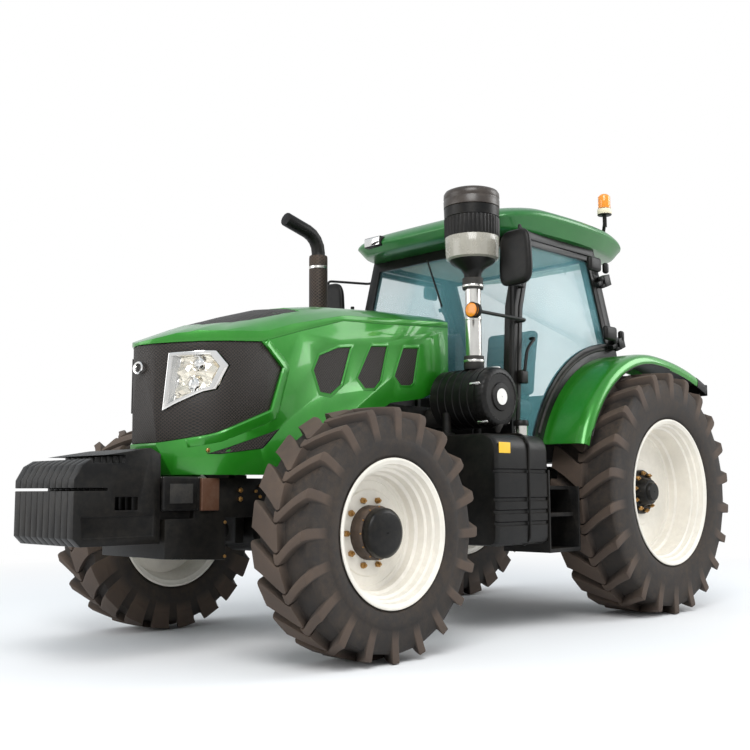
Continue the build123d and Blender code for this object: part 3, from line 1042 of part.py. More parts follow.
with BuildPart() as seat_back:
    side_slab([(SEAT_X - 268.4, 1545), (SEAT_X - 155, 1545), (SEAT_X - 240, 2080), (SEAT_X - 360, 2080),
               (SEAT_X - 349.6, 2000)], -240, 240)
save(seat_back, "seat_back")

COLUMN_FOOT = (REAR_X + 1065, 0, 1380)
COLUMN_LENGTH = 370.0
COLUMN_LEAN = radians(30)
column_dir = (-sin(COLUMN_LEAN), 0, cos(COLUMN_LEAN))
wheel_hub = Vector(*COLUMN_FOOT) + Vector(*column_dir) * COLUMN_LENGTH
with BuildPart() as dash:
    side_slab([(REAR_X + 1040, CAB_FLOOR_TOP_Z + SEAT_GAP), (REAR_X + 1196, CAB_FLOOR_TOP_Z + SEAT_GAP),
               (REAR_X + 1186, 1930), (REAR_X + 1130, 1950), (REAR_X + 1075, 1820)], -190, 190)
    rod(COLUMN_FOOT, tuple(wheel_hub), 36)
save(dash, "dash")

STEERING_WHEEL_RADIUS = 190.0
STEERING_RIM_RADIUS = 14.0
wheel_plane = Plane(origin=wheel_hub + Vector(*column_dir) * (BEARING_GAP + 20), x_dir=(0, 1, 0),
                    z_dir=column_dir)
with BuildPart() as steering_wheel:
    with BuildSketch(wheel_plane.offset(-20)):
        RegularPolygon(42, 12)
    extrude(amount=45)
    with BuildSketch(wheel_plane.offset(-6)):
        RegularPolygon(STEERING_WHEEL_RADIUS, 24)
        RegularPolygon(STEERING_WHEEL_RADIUS - 2 * STEERING_RIM_RADIUS, 24, mode=Mode.SUBTRACT)
        with PolarLocations(STEERING_WHEEL_RADIUS / 2, 3, start_angle=90):
            Rectangle(STEERING_WHEEL_RADIUS - 2 * STEERING_RIM_RADIUS, 26)
    extrude(amount=2 * STEERING_RIM_RADIUS - 8)
save(steering_wheel, "steering_wheel")

# ================================================================ rear hitch
LINK_LENGTH = 1008.0
LINK_EYE_RADIUS = 42.0
LINK_BORE_RADIUS = 18.5
LINK_BALL_LENGTH = 45.0
LINK_HALF_DEPTH = 35.0
LINK_HALF_THICKNESS = 18.0
ROD_Y = 362.0
ROD_PIN_RADIUS = 12.0
ROD_PIN_CLEARANCE = 8.0
LIFT_POINT = 470.0
LIFT_ARM_LENGTH = 320.0
LIFT_ARM_DROP = 10.0
ARM_INNER_Y = REAR_HOUSING_HALF_WIDTH + 4
ARM_THICKNESS = 30.0
with BuildPart() as lower_link:
    eye_x = LINK_PIVOT_X - LINK_LENGTH
    for x, half_width, radius in ((LINK_PIVOT_X, 20, 40), (eye_x, LINK_BALL_LENGTH / 2, LINK_EYE_RADIUS)):
        rod((x, LINK_PIVOT_Y - half_width, LINK_PIVOT_Z), (x, LINK_PIVOT_Y + half_width, LINK_PIVOT_Z), radius)
    block(eye_x, LINK_PIVOT_X, LINK_PIVOT_Y - LINK_HALF_THICKNESS, LINK_PIVOT_Y + LINK_HALF_THICKNESS,
          LINK_PIVOT_Z - LINK_HALF_DEPTH, LINK_PIVOT_Z + LINK_HALF_DEPTH)
    turned_rod((LINK_PIVOT_X - LIFT_POINT, LINK_PIVOT_Y, LINK_PIVOT_Z),
               (LINK_PIVOT_X - LIFT_POINT, ROD_Y + 18, LINK_PIVOT_Z), ROD_PIN_RADIUS)
    for x, radius in ((LINK_PIVOT_X, LINK_PIN_RADIUS + BEARING_GAP), (eye_x, LINK_BORE_RADIUS)):
        turned_rod((x, LINK_PIVOT_Y - 40, LINK_PIVOT_Z), (x, LINK_PIVOT_Y + 40, LINK_PIVOT_Z), radius,
                   mode=Mode.SUBTRACT)
save_both(lower_link, "lower_links")

arm_end = (LIFT_SHAFT_X - LIFT_ARM_LENGTH, LIFT_SHAFT_Z - LIFT_ARM_DROP)
with BuildPart() as lift_arm:
    for x, z, radius in ((LIFT_SHAFT_X, LIFT_SHAFT_Z, 55), (arm_end[0], arm_end[1], 30)):
        rod((x, ARM_INNER_Y, z), (x, ARM_INNER_Y + ARM_THICKNESS, z), radius)
    side_slab([(LIFT_SHAFT_X, LIFT_SHAFT_Z + 50), (LIFT_SHAFT_X, LIFT_SHAFT_Z - 50),
               (arm_end[0], arm_end[1] - 28), (arm_end[0], arm_end[1] + 28)],
              ARM_INNER_Y, ARM_INNER_Y + ARM_THICKNESS)
    turned_rod((arm_end[0], ARM_INNER_Y, arm_end[1]), (arm_end[0], ROD_Y + 18, arm_end[1]), ROD_PIN_RADIUS)
    turned_rod((LIFT_SHAFT_X, ARM_INNER_Y - 5, LIFT_SHAFT_Z), (LIFT_SHAFT_X, ARM_INNER_Y + 40, LIFT_SHAFT_Z),
               LIFT_SHAFT_RADIUS + BEARING_GAP, mode=Mode.SUBTRACT)
save_both(lift_arm, "lift_arms")

with BuildPart() as lift_rod:
    lift_point_x = LINK_PIVOT_X - LIFT_POINT
    rod((arm_end[0], ROD_Y, arm_end[1]), (lift_point_x, ROD_Y, LINK_PIVOT_Z), 15)
    for x, z, hole in ((arm_end[0], arm_end[1], ROD_PIN_RADIUS + BEARING_GAP),
                       (lift_point_x, LINK_PIVOT_Z, ROD_PIN_RADIUS + ROD_PIN_CLEARANCE)):
        rod((x, ROD_Y - 14, z), (x, ROD_Y + 14, z), 32)
        turned_rod((x, ROD_Y - 20, z), (x, ROD_Y + 20, z), hole, mode=Mode.SUBTRACT)
save_both(lift_rod, "lift_rods")

TOP_LINK_LENGTH = 600.0
TOP_LINK_LEAN = radians(30)
with BuildPart() as top_link:
    end = (TOP_LINK_X - TOP_LINK_LENGTH * sin(TOP_LINK_LEAN), TOP_LINK_Z + TOP_LINK_LENGTH * cos(TOP_LINK_LEAN))
    rod((TOP_LINK_X, 0, TOP_LINK_Z), (end[0], 0, end[1]), 20)
    for x, z in ((TOP_LINK_X, TOP_LINK_Z), end):
        rod((x, -25, z), (x, 25, z), 30)
        turned_rod((x, -30, z), (x, 30, z), TOP_LINK_PIN_RADIUS + BEARING_GAP, mode=Mode.SUBTRACT)
save(top_link, "top_link")

DRAWBAR_Z = 390.0
DRAWBAR_END_X = REAR_X - 760
DRAWBAR_PIN_RADIUS = 16.5
with BuildPart() as drawbar:
    block(DRAWBAR_END_X, REAR_X + 100, -40, 40, DRAWBAR_Z, DRAWBAR_Z + 32)
    for x in (REAR_X - 260, REAR_X + 60):
        block(x - 30, x + 30, -70, 70, DRAWBAR_Z, 480 - SEAT_GAP)
    turned_rod((DRAWBAR_END_X + 45, 0, DRAWBAR_Z - 10), (DRAWBAR_END_X + 45, 0, DRAWBAR_Z + 50), DRAWBAR_PIN_RADIUS,
               mode=Mode.SUBTRACT)
save(drawbar, "drawbar")
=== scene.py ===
"""Farm tractor: the finish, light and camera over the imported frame.

Metres, +X forward, +Y to the driver's left, +Z up, origin on the ground between the axles.
Each section below is one piece or group of pieces, and the script runs from top to bottom.
"""
import json
from math import copysign, cos, hypot, pi, radians, sin, sqrt

import bmesh
import bpy
import numpy as np
from mathutils import Matrix, Vector


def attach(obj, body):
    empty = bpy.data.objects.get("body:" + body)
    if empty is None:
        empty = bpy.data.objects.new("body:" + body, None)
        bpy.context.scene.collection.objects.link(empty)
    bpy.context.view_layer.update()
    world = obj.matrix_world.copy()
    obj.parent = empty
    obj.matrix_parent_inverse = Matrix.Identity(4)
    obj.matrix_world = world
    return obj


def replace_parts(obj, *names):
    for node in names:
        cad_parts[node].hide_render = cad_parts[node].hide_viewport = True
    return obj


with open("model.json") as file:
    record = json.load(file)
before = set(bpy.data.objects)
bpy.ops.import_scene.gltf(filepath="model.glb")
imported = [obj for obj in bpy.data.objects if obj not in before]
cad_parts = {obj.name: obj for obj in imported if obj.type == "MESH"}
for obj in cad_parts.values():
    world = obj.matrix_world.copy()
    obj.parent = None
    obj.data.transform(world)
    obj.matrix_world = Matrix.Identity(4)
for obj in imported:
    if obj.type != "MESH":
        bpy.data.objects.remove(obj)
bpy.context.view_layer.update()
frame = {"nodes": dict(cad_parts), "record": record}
cad = frame["nodes"]
scene = bpy.context.scene

# ================================================================ weathered finish
# One finish effect is shared by every painted, cast, rubber and plastic piece. It gives a base
# colour that varies a little, fine dust on faces that look up, and a slight grain.
finish = bpy.data.node_groups.new("weathered_finish", "ShaderNodeTree")
for way, kind, labels in (
        ("INPUT", "NodeSocketColor", ("Colour", "Dust Colour")),
        ("INPUT", "NodeSocketFloat", ("Dust", "Roughness", "Grain", "Grain Scale")),
        ("OUTPUT", "NodeSocketColor", ("Colour",)),
        ("OUTPUT", "NodeSocketFloat", ("Roughness",)),
        ("OUTPUT", "NodeSocketVector", ("Normal",))):
    for label in labels:
        finish.interface.new_socket(label, in_out=way, socket_type=kind)


def joined(tree, kind, settings=(), **inputs):
    """A shader node with its settings made and its inputs set or linked."""
    node = tree.nodes.new("ShaderNode" + kind)
    for key, value in dict(settings).items():
        setattr(node, key, value)
    for key, value in inputs.items():
        label = int(key[1:]) if key[0] == "i" and key[1:].isdigit() else key.replace("_", " ")
        if isinstance(value, bpy.types.NodeSocket):
            tree.links.new(value, node.inputs[label])
        else:
            node.inputs[label].default_value = value
    return node


def maths(tree, operation, *values, clamp=False):
    """The result of one sum on values or links."""
    return joined(tree, "Math", {"operation": operation, "use_clamp": clamp},
                  **{f"i{place}": value for place, value in enumerate(values)}).outputs[0]


def ranged(tree, value, low, high, start=0.0, end=1.0):
    """A value carried from the range low to high onto the range start to end."""
    return joined(tree, "MapRange", Value=value, From_Min=low, From_Max=high, To_Min=start,
                  To_Max=end).outputs["Result"]


given = finish.nodes.new("NodeGroupInput").outputs
result = finish.nodes.new("NodeGroupOutput").inputs
place = joined(finish, "TexCoord").outputs["Object"]
patches = joined(finish, "TexNoise", Vector=place, Scale=3.5, Detail=5.0, Roughness=0.62).outputs["Fac"]
streaks = joined(finish, "TexNoise", Vector=place, Scale=26.0, Detail=4.0, Roughness=0.7).outputs["Fac"]
speckle = joined(finish, "TexNoise", Vector=place, Scale=given["Grain Scale"], Detail=3.0,
                 Roughness=0.6).outputs["Fac"]
facing = joined(finish, "NewGeometry").outputs["Normal"]
upward = joined(finish, "SeparateXYZ", Vector=facing).outputs["Z"]
level = ranged(finish, upward, -0.4, 1.0, 0.35, 1.3)
cloud = maths(finish, "MULTIPLY", patches, streaks)
spread = ranged(finish, cloud, 0.16, 0.36)
settled = maths(finish, "MULTIPLY", spread, level)
dust = maths(finish, "MULTIPLY", settled, given["Dust"], clamp=True)
shade = ranged(finish, patches, 0.3, 0.7, 0.88, 1.12)
toned = joined(finish, "VectorMath", {"operation": "SCALE"}, i0=given["Colour"], Scale=shade).outputs[0]
dusted = joined(finish, "Mix", {"data_type": "RGBA"}, i0=dust, i6=toned, i7=given["Dust Colour"]).outputs[2]
dull = maths(finish, "MULTIPLY_ADD", dust, 0.5, given["Roughness"], clamp=True)
bumps = joined(finish, "Bump", Strength=given["Grain"], Distance=0.002, Height=speckle).outputs["Normal"]
finish.links.new(dusted, result["Colour"])
finish.links.new(dull, result["Roughness"])
finish.links.new(bumps, result["Normal"])

# Fine mesh: small holes in crossed rows, given as a mask of the wire between them.
screening = bpy.data.node_groups.new("fine_screening", "ShaderNodeTree")
screening.interface.new_socket("Holes per Metre", in_out="INPUT", socket_type="NodeSocketFloat")
screening.interface.new_socket("Wire", in_out="OUTPUT", socket_type="NodeSocketFloat")
given = screening.nodes.new("NodeGroupInput").outputs
result = screening.nodes.new("NodeGroupOutput").inputs
place = joined(screening, "TexCoord").outputs["Object"]
scaled = joined(screening, "VectorMath", {"operation": "SCALE"}, i0=place,
        Scale=given["Holes per Metre"]).outputs[0]
waves = []
for direction in ((0.0, 1.0, 1.0), (0.0, 1.0, -1.0), (1.0, 0.35, 1.0), (1.0, 0.35, -1.0)):
    along = joined(screening, "VectorMath", {"operation": "DOT_PRODUCT"}, i0=scaled, i1=direction).outputs[1]
    waves.append(maths(screening, "PINGPONG", along, 0.5))
crossed = [maths(screening, "MAXIMUM", waves[a], waves[b]) for a, b in ((0, 1), (2, 3))]
facing = joined(screening, "NewGeometry").outputs["Normal"]
sideways = joined(screening, "SeparateXYZ", Vector=facing)
flat = maths(screening, "ABSOLUTE", sideways.outputs["Y"])
side_on = maths(screening, "GREATER_THAN", flat, 0.72)
picked = joined(screening, "Mix", {"data_type": "FLOAT"}, i0=side_on, i2=crossed[0], i3=crossed[1]).outputs[0]
wire = ranged(screening, picked, 0.33, 0.4)
screening.links.new(wire, result["Wire"])


def finished(name, colour, roughness, metallic=0.0, coat=0.0, dust=0.2, grain=0.1, grain_scale=60.0,
             dust_colour=(0.36, 0.3, 0.22), **constants):
    """A material with the weathered finish on a Principled shader."""
    material = bpy.data.materials.new(name)
    material.use_nodes = True
    material.diffuse_color = (*colour, 1)
    tree = material.node_tree
    shader = tree.nodes["Principled BSDF"]
    worn = tree.nodes.new("ShaderNodeGroup")
    worn.node_tree = finish
    for label, value in (("Colour", (*colour, 1)), ("Dust Colour", (*dust_colour, 1)), ("Dust", dust),
            ("Roughness", roughness), ("Grain", grain), ("Grain Scale", grain_scale)):
        worn.inputs[label].default_value = value
    for label, target in (("Colour", "Base Color"), ("Roughness", "Roughness"), ("Normal", "Normal")):
        tree.links.new(worn.outputs[label], shader.inputs[target])
    shader.inputs["Metallic"].default_value = metallic
    shader.inputs["Coat Weight"].default_value = coat
    shader.inputs["Coat Roughness"].default_value = 0.06
    for label, value in constants.items():
        shader.inputs[label.replace("_", " ")].default_value = value
    return material


slots = {}
for slot, name, colour, roughness, more in (
        ("body_green", "body_green", (0.016, 0.22, 0.01), 0.3,
         dict(metallic=0.35, coat=0.55, dust=0.03, grain=0.0)),
        ("roof_green", "roof_green", (0.01, 0.15, 0.022), 0.34,
         dict(metallic=0.2, coat=0.35, dust=0.06, grain=0.0)),
        ("rim_cream", "rim_cream", (0.8, 0.76, 0.68), 0.4, dict(dust=0.16, grain=0.05)),
        ("hub_black", "hub_black", (0.0035, 0.0035, 0.0037), 0.34, dict(dust=0.05, Specular_IOR_Level=0.22)),
        ("hub_cast", "hub_casting", (0.045, 0.03, 0.022), 0.6,
         dict(dust=0.45, grain=0.35, grain_scale=90, dust_colour=(0.2, 0.14, 0.1))),
        ("chassis_black", "chassis_black", (0.0035, 0.0034, 0.0034), 0.42,
         dict(dust=0.04, grain=0.25, grain_scale=110, Specular_IOR_Level=0.22)),
        ("chassis_brown", "chassis_brown", (0.1, 0.04, 0.02), 0.45, dict(metallic=0.3, dust=0.15, grain=0.3)),
        ("engine_grey", "engine_grey", (0.012, 0.012, 0.012), 0.6, dict(dust=0.15, grain=0.4)),
        ("cab_black", "cab_black", (0.006, 0.0062, 0.0065), 0.34, dict(dust=0.04, Specular_IOR_Level=0.22)),
        ("black_plastic", "black_plastic", (0.0042, 0.0041, 0.0041), 0.38,
         dict(dust=0.03, grain=0.25, grain_scale=220, Specular_IOR_Level=0.22)),
        ("black_rubber", "black_rubber", (0.01, 0.0095, 0.009), 0.7,
         dict(dust=0.1, grain=0.3, grain_scale=160)),
        ("amber", "amber_lens", (0.95, 0.33, 0.015), 0.16,
         dict(coat=0.5, dust=0.02, Transmission_Weight=0.25)),
        ("red_lens", "red_lens", (0.5, 0.02, 0.015), 0.2, dict(coat=0.5, dust=0.03)),
        ("white_plastic", "white_plastic", (0.75, 0.74, 0.7), 0.45, dict(dust=0.1)),
        ("chrome", "chrome", (0.85, 0.84, 0.82), 0.1, dict(metallic=1.0, dust=0.02, grain=0.0)),
        ("steel", "bare_steel", (0.72, 0.7, 0.66), 0.22, dict(metallic=1.0, dust=0.05, grain=0.1)),
        ("gold_zinc", "gold_zinc", (0.42, 0.24, 0.08), 0.36, dict(metallic=0.9, dust=0.15)),
        ("seat_fabric", "seat_fabric", (0.08, 0.085, 0.09), 0.85,
         dict(dust=0.06, grain=0.5, grain_scale=420)),
        ("liner_beige", "liner_beige", (0.42, 0.36, 0.27), 0.75, dict(dust=0.06, grain=0.3, grain_scale=260)),
        ("mirror_face", "mirror_face", (0.8, 0.82, 0.84), 0.04, dict(metallic=1.0, dust=0.02, grain=0.0)),
        ("tyre", "tyre_rubber", (0.022, 0.017, 0.014), 0.75,
         dict(dust=0.32, grain=0.45, grain_scale=120, dust_colour=(0.13, 0.09, 0.06)))):
    slots[slot] = finished(name, colour, roughness, **more)


def recoloured(material, colour):
    """Feeds a colour into the weathered finish of a material."""
    worn = next(n for n in material.node_tree.nodes if n.type == "GROUP" and n.node_tree == finish)
    material.node_tree.links.new(colour, worn.inputs["Colour"])


# The bars' faces are scuffed to a paler brown than the casing.
tree = slots["tyre"].node_tree
scuffed = joined(tree, "Attribute", {"attribute_name": "scuff"}).outputs["Fac"]
shaded = joined(tree, "Mix", {"data_type": "RGBA"}, i0=scuffed, i6=(0.012, 0.0098, 0.0086, 1),
                i7=(0.072, 0.049, 0.036, 1))
recoloured(slots["tyre"], shaded.outputs[2])


def see_through(name, colour, alpha, edge_alpha):
    """Thin glazing: clear face on, and more mirror-like at a glancing angle."""
    material = finished(name, colour, 0.02, dust=0.0, grain=0.0, Specular_IOR_Level=0.2)
    tree = material.node_tree
    glance = joined(tree, "Fresnel", IOR=1.5).outputs[0]
    tree.links.new(ranged(tree, glance, 0.04, 0.6, alpha, edge_alpha),
                   tree.nodes["Principled BSDF"].inputs["Alpha"])
    return material


slots["glass"] = see_through("tinted_glass", (0.2, 0.5, 0.55), 0.07, 0.35)
slots["lamp_clear"] = see_through("clear_lens", (0.75, 0.77, 0.78), 0.05, 0.5)

# ================================================================ carried-over pieces
# Castings, plates and boxes whose frame shape is already right keep it. Their edges are broken
# by a small radius, as a casting's, a folded plate's or a moulding's are.
def smoothed(mesh, angle=None):
    """Shades a mesh smoothly, apart from any edges that turn by more than the angle."""
    for face in mesh.polygons:
        face.use_smooth = True
    if angle:
        mesh.set_sharp_from_angle(angle=radians(angle))


EDGE_RADIUS = {"battery_box": 0.012, "front_weights": 0.005}
material_of = {entry["node"]: entry["material_slot"] for entry in frame["record"]["subparts"]}
for node, piece in cad.items():
    piece.data.materials.clear()
    piece.data.materials.append(slots[material_of[node]])
    weld = piece.modifiers.new("weld", "WELD")
    weld.merge_threshold = 0.00005
    merged = piece.modifiers.new("flat_faces", "DECIMATE")
    merged.decimate_type = "DISSOLVE"
    merged.angle_limit = radians(0.5)
    broken = piece.modifiers.new("edge_radius", "BEVEL")
    broken.width = EDGE_RADIUS.get(node, 0.003)
    broken.segments = 2
    broken.limit_method = "ANGLE"
    broken.angle_limit = radians(32)
    smoothed(piece.data)

# ================================================================ tyres
# A cross-ply tractor tyre: a moulded casing with a bead, bulged side walls and a flat tread, and
# two sets of bars half a pitch apart, each from just past the middle down over its own shoulder.
# The casing is moulded as one, so each tyre is one closed skin whose columns follow the bars.
FRONT_X = 1.4
REAR_X = -1.4
FRONT_WHEEL = (FRONT_X, 0.96, 0.645)
REAR_WHEEL = (REAR_X, 0.935, 0.84)
# Each rim's flange radius, bead seat radius and width
FRONT_RIM = (0.381, 0.355, 0.36)
REAR_RIM = (0.508, 0.483, 0.436)
# One pitch of the tread: the columns' places in it, and how far each stands up an outer bar. The
# inner bars take their heights from six columns on. The columns crowd into the first half of the
# pitch, so the inner bars come out more than twice as wide as the outer ones, which no real tyre's do.
PITCH_COLUMNS = (0.0, 0.012, 0.05, 0.075, 0.17, 0.27, 0.295, 0.333, 0.345, 0.385, 0.42, 0.46)
BAR_RISE = (0.0, 0.1, 0.94, 1.0, 1.0, 1.0, 0.94, 0.1, 0.0, 0.0, 0.0, 0.0)


def faced_out(mesh):
    """Turns all faces of a closed mesh outward."""
    bm = bmesh.new()
    bm.from_mesh(mesh)
    bmesh.ops.recalc_face_normals(bm, faces=bm.faces)
    bm.to_mesh(mesh)
    bm.free()


def placed(name, mesh, slot, body="chassis", look=None):
    """Puts a mesh in the scene as one piece in its slot's finish, carried by one body."""
    mesh.materials.append(look or slots[slot])
    piece = bpy.data.objects.new(name, mesh)
    scene.collection.objects.link(piece)
    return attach(piece, body)


def moulded(name, points, rows, columns, slot, body="chassis", look=None):
    """A closed skin over a ring of rows and a ring of columns."""
    mesh = bpy.data.meshes.new(name)
    faces = []
    for row in range(rows):
        here, there = row * columns, (row + 1) % rows * columns
        for column in range(columns):
            beside = (column + 1) % columns
            faces.append((here + column, here + beside, there + beside, there + column))
    mesh.from_pydata(points, [], faces)
    faced_out(mesh)
    mesh.set_sharp_from_angle(angle=radians(38))
    return placed(name, mesh, slot, body, look)


def tyre(name, body, centre, radius, width, flange, seat, rim_width, bar_height, bars, side):
    """A tractor tyre: the casing's section carried round, with slanted bars raised on each half."""
    half = width / 2
    casing = radius - bar_height - 0.002
    bead = rim_width / 2 - 0.016
    bulge = flange + 0.42 * (casing - flange)
    # Half of the section: out from the middle, casing radius, top of a bar there (out, radius)
    section = []
    for share in (0.0, 0.035, 0.075, 0.11, 0.15, 0.24, 0.34, 0.44, 0.54, 0.64, 0.72, 0.79, 0.84, 0.875):
        fall = (share / 0.875) ** 2
        section.append((share * half, casing + 0.004 - 0.008 * fall, share * half * (1 + 0.11 * fall),
                        radius - 0.0005 - 0.005 * fall))
    for out, drop, bar_out, bar_drop in (
            (0.905, 0.010, 0.990, 0.010), (0.935, 0.026, 0.999, 0.022), (0.957, 0.045, 1.0, 0.045),
            (0.972, 0.068, 0.999, 0.072), (0.984, 0.092, 0.994, 0.096), (0.991, 0.112, 0.9915, 0.113)):
        section.append((out * half, casing - drop, bar_out * half, radius - bar_height * 0.1 - bar_drop))
    wall = ((0.9985, 0.6), (0.9999, 0.45), (0.99, 0.3), (0.965, 0.17), (0.935, 0.09))
    start = casing - 0.125
    for out, share in wall:
        if share > 0.45:
            z = bulge + (share - 0.45) / 0.55 * (start - bulge)
        else:
            z = flange + share / 0.45 * (bulge - flange)
        section.append((out * half, z, out * half, z))
    for out, z in ((bead + 0.012, flange + 0.016), (bead, flange + 0.006), (bead, flange - 0.01),
                   (bead - 0.004, seat + 0.006), (bead - 0.03, seat + 0.004), (0.4 * bead, seat + 0.004)):
        section.append((out, z, out, z))
    rows = [(1, *entry) for entry in section] + [(-1, *entry) for entry in reversed(section[1:])]
    angles = [(step + column) * 2 * pi / bars for step in range(bars) for column in PITCH_COLUMNS]
    lead = 0.74 * 2 * pi / bars
    points = []
    scuff = []
    for half_side, out, z, bar_out, bar_z in rows:
        share = min(out / half, 1.0)
        shear = lead * (sqrt(share ** 2 + 0.006) - 0.0775) * (1.18 - 0.22 * share) - lead / 2
        reach = max(0.0, min(1.0, (0.125 - share) / 0.05))
        for index in range(len(angles)):
            column = index % len(PITCH_COLUMNS)
            own = BAR_RISE[column]
            other = BAR_RISE[(column + 6) % len(PITCH_COLUMNS)]
            rise = own if half_side > 0 else other
            if share < 0.125:
                rise = max(rise, (other if half_side > 0 else own) * reach)
            scuff.append(rise * min(1.0, hypot(bar_out - out, bar_z - z) / (0.5 * bar_height)) * 0.85 + 0.05)
            y = half_side * (out + (bar_out - out) * rise)
            r = z + (bar_z - z) * rise
            angle = -(angles[index] - shear)
            points.append((centre[0] + r * sin(-angle), side * (centre[1] + y), centre[2] + r * cos(angle)))
    shell = moulded(name, points, len(rows), len(angles), "tyre", body)
    worn = shell.data.attributes.new("scuff", "FLOAT", "POINT")
    worn.data.foreach_set("value", scuff)
    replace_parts(shell, name)


for hand, side in (("left", 1), ("right", -1)):
    tyre(f"tyre_front_{hand}", f"wheel_front_{hand}", FRONT_WHEEL, 0.645, 0.378, *FRONT_RIM, 0.044, 20, side)
    tyre(f"tyre_rear_{hand}", f"wheel_rear_{hand}", REAR_WHEEL, 0.84, 0.467, *REAR_RIM, 0.05, 22, side)

# ================================================================ rims, hubs and wheel nuts
# Pressed steel rims in two halves with stepped wells, welded to a dished centre plate. A ring of
# zinc-plated nuts holds each plate to the hub, with the tyre valve just inside the lip.
def turned(name, profile, spot, slot, body="chassis", segments=72, ribs=None, look=None):
    """A skin turned about an axis from closed (along, radius) points, which spot lays in place. The
    ribs are a range along the axis, a depth, how many steps apart they are, and which step is let in."""
    points = []
    for along, r in profile:
        for step in range(segments):
            angle = 2 * pi * step / segments
            let_in = ribs and ribs[0] <= along <= ribs[1] and step % ribs[3] == ribs[4]
            reach = r - ribs[2] if let_in else r
            points.append(spot(along, reach * cos(angle), reach * sin(angle)))
    return moulded(name, points, len(profile), segments, slot, body, look)


def lathed(name, profile, middle, side, slot, body, segments=96):
    """A piece turned about a wheel's axle, from (out along the axle, radius) points."""
    return turned(name, profile, lambda out, u, v: (middle[0] + u, side * out, middle[2] + v), slot, body,
                  segments)


def nut(points, faces, at, size, height, turn):
    """Adds one six-sided nut on the wheel's face, with its chamfered top and the stud's end."""
    start = len(points)
    for out, share in ((0.0, 1.0), (height * 0.8, 1.0), (height, 0.82), (height, 0.45),
            (height * 1.5, 0.42), (height * 1.5, 0.0)):
        for corner in range(6):
            angle = turn + corner * pi / 3
            points.append((at[0] + size * share * cos(angle), at[1] + out, at[2] + size * share * sin(angle)))
    for level in range(5):
        for corner in range(6):
            following = (corner + 1) % 6
            faces.append((start + level * 6 + corner, start + level * 6 + following,
                    start + level * 6 + 6 + following, start + level * 6 + 6 + corner))


def nut_ring(name, centre, y, pitch_radius, places, size, height, side, body):
    """Nuts on one pitch circle, at the angles in places, all facing out to one side."""
    points, faces = [], []
    for angle in places:
        nut(points, faces, (centre[0] + pitch_radius * cos(angle), y,
                centre[1] + pitch_radius * sin(angle)), size, height, angle)
    mesh = bpy.data.meshes.new(name)
    mesh.from_pydata([(x, side * out, z) for x, out, z in points], [], faces)
    bm = bmesh.new()
    bm.from_mesh(mesh)
    bmesh.ops.remove_doubles(bm, verts=bm.verts, dist=0.00001)
    bmesh.ops.recalc_face_normals(bm, faces=bm.faces)
    bm.to_mesh(mesh)
    bm.free()
    return placed(name, mesh, "gold_zinc", body)


def rim(name, body, middle, flange, seat, rim_width, disc, hole, side):
    """The rim's closed section from the outer lip, through the wells and the plate, and back."""
    outer = middle[1] + rim_width / 2
    inner = middle[1] - rim_width / 2
    profile = [(outer - 0.004, flange), (outer, flange - 0.003), (outer, flange - 0.012),
            (outer - 0.008, flange - 0.02), (outer - 0.012, seat - 0.004), (outer - 0.045, seat - 0.010),
            (outer - 0.052, seat - 0.022), (outer - 0.085, seat - 0.026), (outer - 0.092, seat - 0.040),
            (disc + 0.062, seat - 0.044), (disc + 0.05, seat - 0.058), (disc + 0.012, seat - 0.062),
            (disc + 0.004, seat - 0.070), (disc + 0.004, seat - 0.085), (disc, seat - 0.088),
            (disc, hole + 0.085), (disc + 0.006, hole + 0.078), (disc + 0.008, hole + 0.012),
            (disc + 0.008, hole), (disc - 0.013, hole), (disc - 0.013, seat - 0.08),
            (disc - 0.02, seat - 0.055), (disc - 0.05, seat - 0.05), (inner + 0.05, seat - 0.025),
            (inner + 0.014, seat - 0.012), (inner + 0.008, flange - 0.018), (inner, flange - 0.012),
            (inner, flange - 0.003), (inner + 0.004, flange), (inner + 0.012, flange - 0.004),
            (inner + 0.014, seat), (outer - 0.014, seat), (outer - 0.012, flange - 0.004)]
    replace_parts(lathed(name, profile, middle, side, "rim_cream", body), name)


